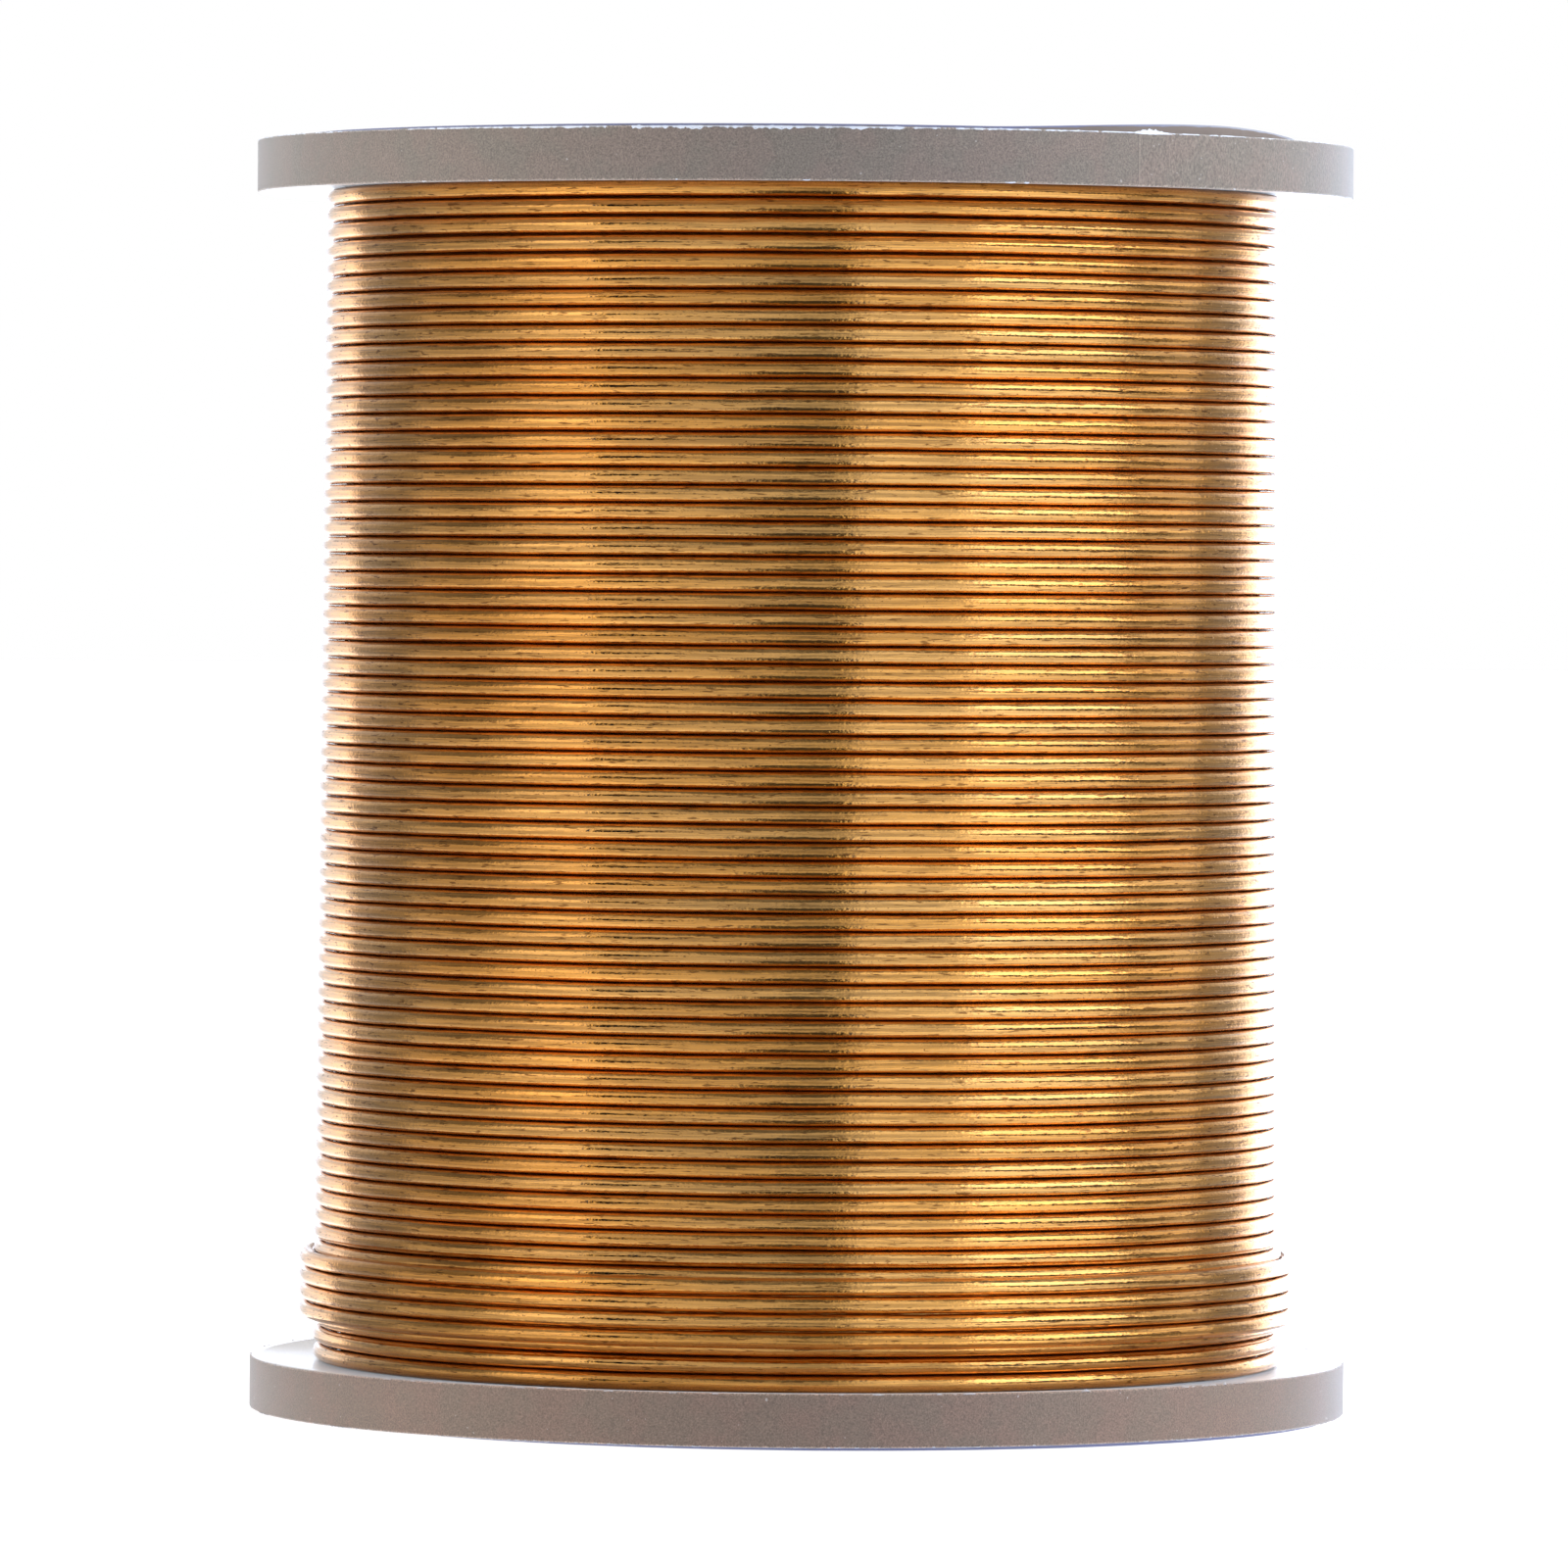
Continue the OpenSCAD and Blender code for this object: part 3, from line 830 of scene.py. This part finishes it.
def makeLabel(name, bottom, lifted, line, offset, seed):
    # Thin ring. Its faces are grids over radius and azimuth, swollen at the blister by a bell over
    # the azimuth times a rise over the radius. Four stops lie up the edge, and the colour starts
    # between the two in the middle. The offset moves the edge and leaves the hole in place.
    outer, middle, hole = label["outer"], label["liftRadius"], label["hole"]
    azimuth = evenly(label["segments"])
    radii = np.concatenate([np.linspace(hole, middle, 8), np.linspace(middle, outer, 16)[1:]])
    offCentre = offset * np.cos(np.radians(azimuth + label["offsetTo"]))
    wander = waves(azimuth, label["wander"], 90, 9, 6, seed) + offCentre
    turned = signed(azimuth)
    before = ease((turned - label["liftFrom"]) / (label["liftPeak"] - label["liftFrom"]))
    after = ease((label["liftTo"] - turned) / (label["liftTo"] - label["liftPeak"]))
    bell = np.minimum(before**0.8, after**0.5) * lifted
    rise = np.clip((radii - middle) / (outer - middle), 0, 1) ** 1.6
    raised = label["lift"] * bell[:, None] * rise
    ring = radii + wander[:, None] * ((radii - hole) / (outer - hole)) ** 4
    under = polar(ring, azimuth[:, None], bottom)
    over = polar(ring, azimuth[:, None], bottom + label["thick"] + raised)
    proud, hair = label["proud"], label["hair"]
    top = bottom + label["thick"] + raised[:, -1]
    ends = top - line * (1 + 0.15 * waves(azimuth, 1.0, 30, 2, 8, seed + 3))
    stops = [bottom + proud, ends - hair, ends + hair, top - proud]
    strip = np.stack([polar(ring[:, -1] + proud, azimuth, stop) for stop in stops], 1)
    points = np.concatenate([under, strip, over[:, ::-1]], 1)
    count = len(radii)
    cutEdge, back = np.zeros((2, *points.shape[:2]))
    rubbed = label["rubbed"] * lifted * ease((turned - label["rubbedFrom"]) / 30)
    cutEdge[:, count + 2 : count + 4] = (1 - rubbed)[:, None]
    back[:, : count + 2] = 1
    return addSweep(name, points, {"cutEdge": cutEdge, "gluedBack": back})


# The lower label is the upper one turned over, so its azimuths are mirrored.
bottomLabel = makeLabel("bottomLabel", 0.0, 0.0, label["lowLine"], label["offset"], 3)
turnMesh(bottomLabel, 180, axis=0)
moveMesh(bottomLabel, (0, 0, label["thick"]))
finishPiece(bottomLabel, "bottom_label", labelPaper)
topLabel = makeLabel("topLabel", spool["topFace"], 1.0, label["line"], 0.0, 4)
finishPiece(topLabel, "top_label", labelPaper)
print("spool body made")

winding = {
    "radius": 0.3,  # of the wire
    "layerRadius": 17.17,  # of the outer layer's centreline at the top
    "flare": 0.24,  # how much wider it is at the bottom
    "layerStep": 0.54,  # from one layer to the next, whose turns lie in its grooves
    "settled": 0.095,  # how far the middle turns lie below an even pitch
    "settleOver": 6,  # turns from the top over which that sets in
    "settleBack": 30,  # and over which it ends
    "levelTurns": 4,  # turns at the bottom that are even again
    "turns": 68,
    "stepsPerTurn": 96,
    "firstAzimuth": 135.0,
    "crossShare": 0.25,  # part of a turn over which it steps to the next pitch
    "crossBump": 0.05,
    "climbShare": 0.125,
    "lowEnd": 1.87,  # heights between which the outer layer's turns lie
    "highEnd": 44.56,
    "lastTurns": 4,
    "lastGroove": 3,  # the groove, from below, that holds the unfinished layer's lowest turn
    "finishRadius": 18.54,
    # Wander of the wire: how far in mm, its longest and shortest wave, their number and a seed.
    "outerRise": (0.0045, 23, 3.1, 9, 21),
    "outerSway": (0.006, 31, 3.7, 9, 22),
    "lastRise": (0.006, 23, 3.1, 9, 23),
    "lastSway": (0.008, 31, 3.7, 9, 24),
}
pitch = (winding["highEnd"] - winding["lowEnd"]) / winding["turns"]
# Section angles from the outward direction: finer where the wire shows, closed round the inside.
sectionAngles = np.array([-90, -72, -54, -36, -18, 0, 18, 36, 54, 72, 90, 135, 180, 225], float)
sectionShares = np.concatenate([np.linspace(0, 0.86, 11), [0.895, 0.93, 0.965, 1.0]])


def tubeMesh(name, path, first, second, degrees, lengthBefore=0.0, flipped=False, uv=None):
    # Round tube along a path: at each stop a ring of points, radius times (cosine x first + sine
    # x second). Flipped where these and the way ahead are left-handed. Also gives its length.
    angles = np.radians(degrees)[:, None]
    ring = np.cos(angles) * first[:, None, :] + np.sin(angles) * second[:, None, :]
    points = path[:, None, :] + winding["radius"] * ring
    steps = np.linalg.norm(np.diff(path, axis=0), axis=1)
    length = lengthBefore + np.concatenate([[0], np.cumsum(steps)])
    attributes = {"alongWire": length[:, None], "aroundWire": signed(degrees) / 180}
    return addSweep(name, points, attributes, False, flipped, uv), length[-1]


def wireTube(name, path, lengthBefore, stripSteps):
    # Tube whose sections stand outwards from the spool's axis. Its map lays each turn, which has
    # so many steps, out as a strip.
    ahead = unit(np.gradient(path, axis=0))
    upwards = unit(np.cross(unit(path * [1, 1, 0]), ahead))
    outwards = np.cross(ahead, upwards)
    stops, columns = len(path) - 1, len(sectionAngles)
    row, column = np.repeat(np.arange(stops), columns), np.tile(np.arange(columns), stops)
    u0 = (row % stripSteps) / stripSteps
    u1 = u0 + 1 / stripSteps
    v0, v1 = [
        (row // stripSteps + 0.04 + 0.92 * sectionShares[column + side]) / math.ceil(stops / stripSteps)
        for side in (0, 1)
    ]
    uv = np.stack([u0, v0, u1, v0, u1, v1, u0, v1], -1).reshape(-1, 2)
    return tubeMesh(name, path, outwards, upwards, sectionAngles, lengthBefore, uv=uv)


def settle(turns):
    # How far the turns lie below an even pitch, by their number from the top: a smooth rise over
    # the first few and a slow smooth fall that ends a few turns before the bottom.
    left = winding["turns"] - winding["levelTurns"] - turns
    return winding["settled"] * ease(turns / winding["settleOver"]) * ease(left / winding["settleBack"])


def centreRadius(height):
    # Radius of the outer layer's centreline, wider by the flare from top to bottom.
    share = (winding["highEnd"] - height) / (winding["highEnd"] - winding["lowEnd"])
    return winding["layerRadius"] + winding["flare"] * share


def outerPath():
    # Outer layer from the top down: height falls by one pitch in the last quarter of each turn,
    # where the wire rides up a little, and it wanders by a few microns.
    crossing = winding["crossShare"]
    stops = round(winding["stepsPerTurn"] * (winding["turns"] - crossing - winding["climbShare"]))
    turn = np.arange(stops + 1) / winding["stepsPerTurn"]
    whole = np.floor(turn + 1e-9)
    crossed = (turn - whole - 1 + crossing) / crossing
    count = np.minimum(whole + ease(crossed), winding["turns"] - 1) + 0.5
    height = winding["highEnd"] - pitch * count - settle(count)
    length = turn * tau * winding["layerRadius"]
    height += waves(length, *winding["outerRise"])
    hump = winding["crossBump"] * np.sin(np.clip(crossed, 0, 1) * math.pi)
    radius = centreRadius(height) + hump + waves(length, *winding["outerSway"])
    return polar(radius, winding["firstAzimuth"] + 360 * turn, height)


def lastPath():
    # Unfinished layer, from azimuth 0: a climb on to the outer layer, then turns that step up by
    # one pitch at each crossing and end a little past the last of them.
    crossing, climb = winding["crossShare"], winding["climbShare"]
    stops = round(winding["stepsPerTurn"] * (winding["lastTurns"] + 1 / 12))
    turn = np.arange(stops + 1) / winding["stepsPerTurn"]
    whole = np.floor(turn + 1e-9)
    step = ease((turn - whole - climb) / crossing)
    start = winding["lowEnd"] + 0.5 * pitch
    first = winding["lowEnd"] + winding["lastGroove"] * pitch
    later = first + pitch * np.minimum(whole - 1 + step, winding["lastTurns"] - 1)
    height = np.where(whole < 1, start + (first - start) * step, later)
    height = height - settle((winding["highEnd"] - height) / pitch)
    climbed = ease(turn / climb)
    radius = centreRadius(height) + winding["layerStep"] * climbed
    length = turn * tau * radius
    height = height + climbed * waves(length, *winding["lastRise"])
    radius = radius + climbed * waves(length, *winding["lastSway"])
    return polar(radius, 360 * turn, height)


def finishPath(last):
    # Finish end: on from the last turn's end, bending down over 40 degrees on a quarter of a
    # sine, up on to the turns below it, and straight down through the slit.
    share = np.linspace(0, 1, 40)[1:]
    radius = np.hypot(last[0], last[1])
    azimuth = math.degrees(math.atan2(last[1], last[0]))
    bend = spool["lowInner"] + 2 * winding["radius"]
    finish, slit = winding["finishRadius"], spool["slitAzimuth"]
    down = polar(
        radius + (finish - radius) * ease(share / 0.3),
        azimuth + (slit - azimuth) * np.sin(share * math.pi / 2),
        bend + (last[2] - bend) * np.cos(share * math.pi / 2),
    )
    drop = polar(finish, slit, np.linspace(bend, spool["lowFace"] + winding["radius"], 12)[1:])
    return np.concatenate([last[None, :], down, drop])


outerLayer, wound = wireTube("outerLayer", outerPath(), 0.0, winding["stepsPerTurn"])
finishPiece(outerLayer, "wire_outer_layer", copperWire)
lastRoute = lastPath()
lastTurns, wound = wireTube("lastTurns", lastRoute, wound, winding["stepsPerTurn"])
finishPiece(lastTurns, "wire_last_turns", copperWire)
finishEnd, wound = wireTube("wireFinish", finishPath(lastRoute[-1]), wound, 30)
finishPiece(finishEnd, "wire_finish", copperWire)

startEnd = {
    "bend": 0.6,  # radius of its bend
    "reach": 17.5,  # radius at which it ends
    "clear": 0.1,  # depth of the wire under the flange's face
    "sides": 14,
}


def makeStart():
    # Start: up through the top flange beside the barrel, round a quarter bend and outwards, as a
    # tube whose side direction is fixed across the channel.
    hole, bend = spool["startRadius"], startEnd["bend"]
    run = spool["topFace"] - winding["radius"] - startEnd["clear"]
    rise = np.linspace(spool["topInner"], run - bend, 8)[:-1]
    angle = np.linspace(0, math.pi / 2, 12)
    tail = np.linspace(hole + bend, startEnd["reach"], 14)[1:]
    radius = np.concatenate([hole + 0 * rise, hole + bend * (1 - np.cos(angle)), tail])
    height = np.concatenate([rise, run - bend + bend * np.sin(angle), run + 0 * tail])
    path = polar(radius, spool["channelAzimuth"], height)
    side = np.broadcast_to(polar(1.0, spool["channelAzimuth"] + 90, 0.0), path.shape)
    over = np.cross(side, unit(np.gradient(path, axis=0)))
    return tubeMesh("wireStart", path, over, side, evenly(startEnd["sides"]), flipped=True)[0]


finishPiece(makeStart(), "wire_start", copperWire)

innerLayers = {
    "inner": 12.55,  # radius on the barrel
    "sunk": 0.84,  # depth of the scallops' centres under the outer layer's centreline
    "scallop": 0.3,
    "segments": 96,
}


def makeInnerLayers():
    # Lower layers: a turned ring whose outer side is scalloped like the turns of the layer below,
    # half a pitch off the outer one, and whose inner side lies on the barrel.
    low, high, inner = spool["lowInner"], spool["topInner"], innerLayers["inner"]
    outer, segments = winding["layerRadius"] - winding["layerStep"], innerLayers["segments"]
    shoulder, scallop = outer - winding["radius"], innerLayers["scallop"]
    angles = np.radians([-75, -40, 0, 40, 75])
    grooves = np.arange(winding["turns"] - 1, 0, -1)
    centres = (winding["highEnd"] - pitch * grooves - settle(grooves))[:, None]
    across = centreRadius(centres) - innerLayers["sunk"] + scallop * np.cos(angles)
    scallops = np.stack([across, centres + scallop * np.sin(angles)], -1).reshape(-1, 2)
    ends = [(inner, low), (shoulder, low)], [(shoulder, high), (inner, high)]
    profile = np.concatenate([ends[0], scallops, ends[1]])
    along = np.arange(segments) * tau * outer / segments
    around = (profile[:, 1] - low) / pitch * 2
    return lathe("innerLayers", profile, segments, {"alongWire": along[:, None], "aroundWire": around})


finishPiece(makeInnerLayers(), "wire_inner_layers", copperWire)
print(f"winding made, {wound / 1000:.2f} m of wire in the layers that show")

studio = {
    # The walls of light round the spool, low and high up, as pairs of side angle and level. Side 0
    # is the front, right is positive, and 90 is straight behind from either side.
    "walls": [
        (-90, 1.2), (-81, 0.9), (-70.0, 1.55), (-66.5, 0.46), (-60, 0.28), (-54.5, 0.29),
        (-51.5, 0.49), (-44, 0.52), (-38, 0.64), (-30, 0.80), (-26, 0.91), (-20, 0.73),
        (-15, 0.64), (-9, 0.59), (-4, 0.60), (5.0, 0.47), (7.0, 0.69), (16, 0.74), (19.5, 0.92),
        (21.8, 2.0), (26, 1.52), (33, 0.97), (38, 0.82), (43, 0.58), (49, 0.46), (53.5, 0.42),
        (55.5, 0.31), (63.8, 0.39), (68, 1.60), (72, 3.0), (90, 2.6),
    ],
    "ceiling": [
        (-90, 2.0), (-84, 1.6), (-80, 0.95), (-70, 0.92), (-67, 0.64), (-59, 0.40), (-55, 0.32),
        (-51, 0.25), (-44, 0.17), (-38, 0.25), (-31, 0.42), (-25.6, 0.47), (-25.2, 0.30),
        (-12, 0.22), (-8, 0.12), (-5.5, 0.22), (-2, 0.27), (0.5, 0.12), (4, 0.12), (7, 0.30),
        (10, 0.42), (15, 0.26), (18.5, 0.18), (21, 0.38), (36, 0.40), (42, 0.32), (48, 0.44),
        (56, 0.40), (61, 0.72), (66, 1.2), (72, 2.6), (90, 2.6),
    ],
    "brightest": 3.0,
    # The tilt at which the walls end, as pairs of side angle and tilt.
    "eaves": [
        (-90, 25), (-66, 15), (-55, 15), (-50, 12), (-42, 9), (-33, 17), (-25.7, 21), (-25.2, 31),
        (-16, 30), (-10, 20), (-7.5, 17.5), (-2, 17), (2, 20), (5, 22), (7.5, 32), (16, 27),
        (22, 30), (38, 30), (41, 22), (46, 30), (55, 24), (60, 15), (90, 15),
    ],
    "eavesSoft": 3.5,
    # The light's colour runs from cool, 0, to warm, 1, as pairs of side angle and warmth.
    "warmth": [
        (-90, 0.3), (-84, 0.4), (-80, 1), (-70, 1), (-62, 0.2), (-48, 1), (-26, 1), (-12, 0.35),
        (0, 0.1), (28, 0), (38, 0.35), (44, 0.7), (56, 0.7), (62, 0), (90, 0),
    ],
    "cool": (1.0, 1.08, 1.26, 1),
    "warm": (1.0, 0.96, 0.93, 1),
    # Towards the ground the left half grows brighter, by the gain between two tilts.
    "ground": {"gain": 0.75, "tilt": (-50, -12), "side": 4.5},
    # Sheets, openings and dark things in front of the walls, painted in this order: side and tilt
    # that each lies between, then softness and lean of its left, right, lower and upper edge.
    "panels": {
        "leftSheet": {"side": (-36, -25.45), "tilt": (0.5, 21), "soft": (5, 0.15, 3, 4), "level": 1.34},
        "beam": {
            "side": (-25.45, -14.5), "tilt": (-1, 11.5), "soft": (0.15, 3, 1.5, 1.5),
            "lean": (0, 0, 0.3, -0.3), "level": 0.0,
        },
        "lens": {"side": (-2.0, 4.3), "tilt": (-9, 4), "soft": (0.8, 0.8, 3, 3), "level": 0.33},
        "lowFront": {"side": (-6.4, 5.7), "tilt": (-54, -19), "soft": (3.2, 0.6, 6, 4), "level": 0.05},
        "rightBand": {"side": (7.0, 15.2), "tilt": (12, 31), "soft": (1.5, 3, 5, 2.5), "level": 1.05},
        "lowRight": {"side": (6.6, 20.2), "tilt": (-55, -13), "soft": (1.2, 1.2, 6, 5), "level": 1.06},
        "lowWindow": {"side": (20.0, 39), "tilt": (-52, -11), "soft": (1, 5, 6, 6), "level": 1.20},
        "window": {
            "side": (23.3, 45), "tilt": (6.5, 28), "soft": (0.5, 1.5, 1.2, 2.5),
            "lean": (-0.12, -0.2, 0, -0.06), "level": 2.35,
        },
        "sill": {
            "side": (20.5, 45), "tilt": (-1.5, 6.5), "soft": (1.2, 2, 1.5, 1),
            "lean": (0, 0, -0.22, 0), "level": 0.10,
        },
        "post": {"side": (43.8, 49.3), "tilt": (-17, 5), "soft": (1.8, 1.5, 4, 3), "level": 0.20},
        "farSheet": {"side": (43.5, 55.0), "tilt": (6, 36), "soft": (1.5, 1.2, 3, 6), "level": 1.0},
        "farLow": {"side": (46, 54), "tilt": (-50, -17), "soft": (1.5, 1.0, 6, 4), "level": 0.76},
    },
    # Soft lamps that light the plastic and paper and aren't mirrored in the wire: azimuth,
    # height, distance and size in metres, and watts.
    "lamps": {
        "topLamp": (0, 0.55, 0.0, 0.5, 1.2),
        "lowLamp": (0, -0.50, 0.0, 0.6, 0.9),
        "leftLamp": (184, 0.06, 0.60, 0.4, 2.7),
        "rightLamp": (2, 0.06, 0.60, 0.4, 2.7),
    },
    "aim": (0, 0, 0.023),  # the middle of the spool
    "floorHalf": 3000,  # half the floor's width, mm
    "floorGrey": (0.45, 0.45, 0.45, 1),
    "floorGlow": 0.80,
}


def levelRamp(tree, angle, stops, top=1.0):
    # Straight lines between pairs of angle and value, over angles from -90 to 90.
    ramp = addNode(tree, "ShaderNodeValToRGB", {0: maths(tree, "MULTIPLY_ADD", angle, 1 / 180, 0.5)})
    elements = ramp.color_ramp.elements
    for index, (edge, value) in enumerate(stops):
        element = elements[index] if index < len(elements) else elements.new(1.0)
        element.position = (edge + 90) / 180
        element.color = (value / top, value / top, value / top, 1)
    return maths(tree, "MULTIPLY", ramp.outputs["Color"], top)


def panelMask(tree, side, tilt, panel):
    # 1 inside the panel's four edges, with a smooth step over twice the softness at each. A
    # leaning edge shifts by its lean times the other angle.
    left, right, low, high = panel["soft"]
    leanLeft, leanRight, leanLow, leanHigh = panel.get("lean", (0, 0, 0, 0))
    (fromSide, toSide), (fromTilt, toTilt) = panel["side"], panel["tilt"]

    def step(value, edge, soft, lean, other, start, ends):
        if lean:
            shift = maths(tree, "MULTIPLY_ADD", other, lean, -lean * start)
            value = maths(tree, "SUBTRACT", value, shift)
        return remap(tree, value, edge - soft, edge + soft, *ends)

    rising, falling = (0.0, 1.0), (1.0, 0.0)
    pastLeft = step(side, fromSide, left, leanLeft, tilt, 0, rising)
    beforeRight = step(side, toSide, right, leanRight, tilt, 0, falling)
    pastLow = step(tilt, fromTilt, low, leanLow, side, fromSide, rising)
    beforeHigh = step(tilt, toTilt, high, leanHigh, side, fromSide, falling)
    across = maths(tree, "MULTIPLY", pastLeft, beforeRight)
    return maths(tree, "MULTIPLY", across, maths(tree, "MULTIPLY", pastLow, beforeHigh))


def buildWorld():
    # Studio as a function of the direction (x, y, z), in two angles: side = atan2(x, 1 - y) and
    # tilt = asin(z / sqrt(2 - 2 y)). They are half the angles by which a mirror at the spool
    # turns a ray from the front, so upright walls stay upright in the winding.
    world = bpy.data.worlds.new("studio")
    bpy.context.scene.world = world
    world.use_nodes = True
    tree = world.node_tree
    tree.nodes.clear()
    direction = addNode(tree, "ShaderNodeTexCoord").outputs["Generated"]
    x, y, z = addNode(tree, "ShaderNodeSeparateXYZ", {0: direction}).outputs
    nearer = maths(tree, "MAXIMUM", maths(tree, "SUBTRACT", 1.0, y), 0.0001)
    side = maths(tree, "DEGREES", maths(tree, "ARCTAN2", x, nearer))
    spread = maths(tree, "SQRT", maths(tree, "MULTIPLY", nearer, 2.0))
    tilt = maths(tree, "ARCSINE", maths(tree, "DIVIDE", z, spread))
    tilt = maths(tree, "DEGREES", tilt)
    walls = levelRamp(tree, side, studio["walls"], studio["brightest"])
    ceiling = levelRamp(tree, side, studio["ceiling"], studio["brightest"])
    above = maths(tree, "SUBTRACT", tilt, levelRamp(tree, side, studio["eaves"], 90.0))
    soft = studio["eavesSoft"]
    level = blendValue(tree, remap(tree, above, -soft, soft), walls, ceiling)
    ground = studio["ground"]
    gain = remap(tree, tilt, *ground["tilt"], 1 + ground["gain"], 1.0)
    gain = blendValue(tree, remap(tree, side, ground["side"], ground["side"] + 1), gain, 1.0)
    for panel in studio["panels"].values():
        level = blendValue(tree, panelMask(tree, side, tilt, panel), level, panel["level"])
    level = maths(tree, "MULTIPLY", level, gain)
    hue = blendColour(tree, levelRamp(tree, side, studio["warmth"]), studio["cool"], studio["warm"])
    # The camera sees plain white.
    seen = addNode(tree, "ShaderNodeLightPath").outputs["Is Camera Ray"]
    level = blendValue(tree, seen, level, 1.0)
    hue = blendColour(tree, seen, hue, (1, 1, 1, 1))
    shader = addNode(tree, "ShaderNodeBackground", {"Strength": level, "Color": hue})
    addNode(tree, "ShaderNodeOutputWorld", {"Surface": shader.outputs[0]})


def addLamps():
    # Each lamp looks at the middle of the spool from its azimuth, distance and height.
    for name, (azimuth, height, distance, size, watts) in studio["lamps"].items():
        data = bpy.data.lights.new(name, "AREA")
        data.energy = watts
        data.size = size
        lamp = bpy.data.objects.new(name, data)
        lamp.location = polar(distance, azimuth, height)
        lamp.rotation_mode = "QUATERNION"
        lamp.rotation_quaternion = (Vector(studio["aim"]) - lamp.location).to_track_quat("-Z", "Y")
        lamp.visible_camera = False
        lamp.visible_glossy = False
        bpy.context.scene.collection.objects.link(lamp)


def addFloor():
    # Pale floor that carries the spool's soft shadow. The camera sees it close to white, and
    # from below it can be looked through.
    half = studio["floorHalf"]
    points = np.array([(-half, -half, 0), (half, -half, 0), (half, half, 0), (-half, half, 0)])
    floor = addMesh("floor", points, np.array([(0, 1, 2, 3)]), smooth=False)
    material, tree, shader = newMaterial("paleFloor")
    setInputs(tree, shader, {
        "Base Color": studio["floorGrey"],
        "Roughness": 0.9,
        "Emission Color": (1, 1, 1, 1),
        "Emission Strength": studio["floorGlow"],
    })
    back = addNode(tree, "ShaderNodeNewGeometry").outputs["Backfacing"]
    clear = addNode(tree, "ShaderNodeBsdfTransparent").outputs[0]
    mixed = addNode(tree, "ShaderNodeMixShader", {0: back, 1: shader.outputs[0], 2: clear})
    setInputs(tree, tree.nodes["Material Output"], {"Surface": mixed.outputs[0]})
    floor.data.materials.append(material)
    floor.visible_diffuse = False
    floor.visible_glossy = False
    floor.visible_transmission = False
    floor.visible_shadow = False


buildWorld()
addLamps()
addFloor()
print("studio built")
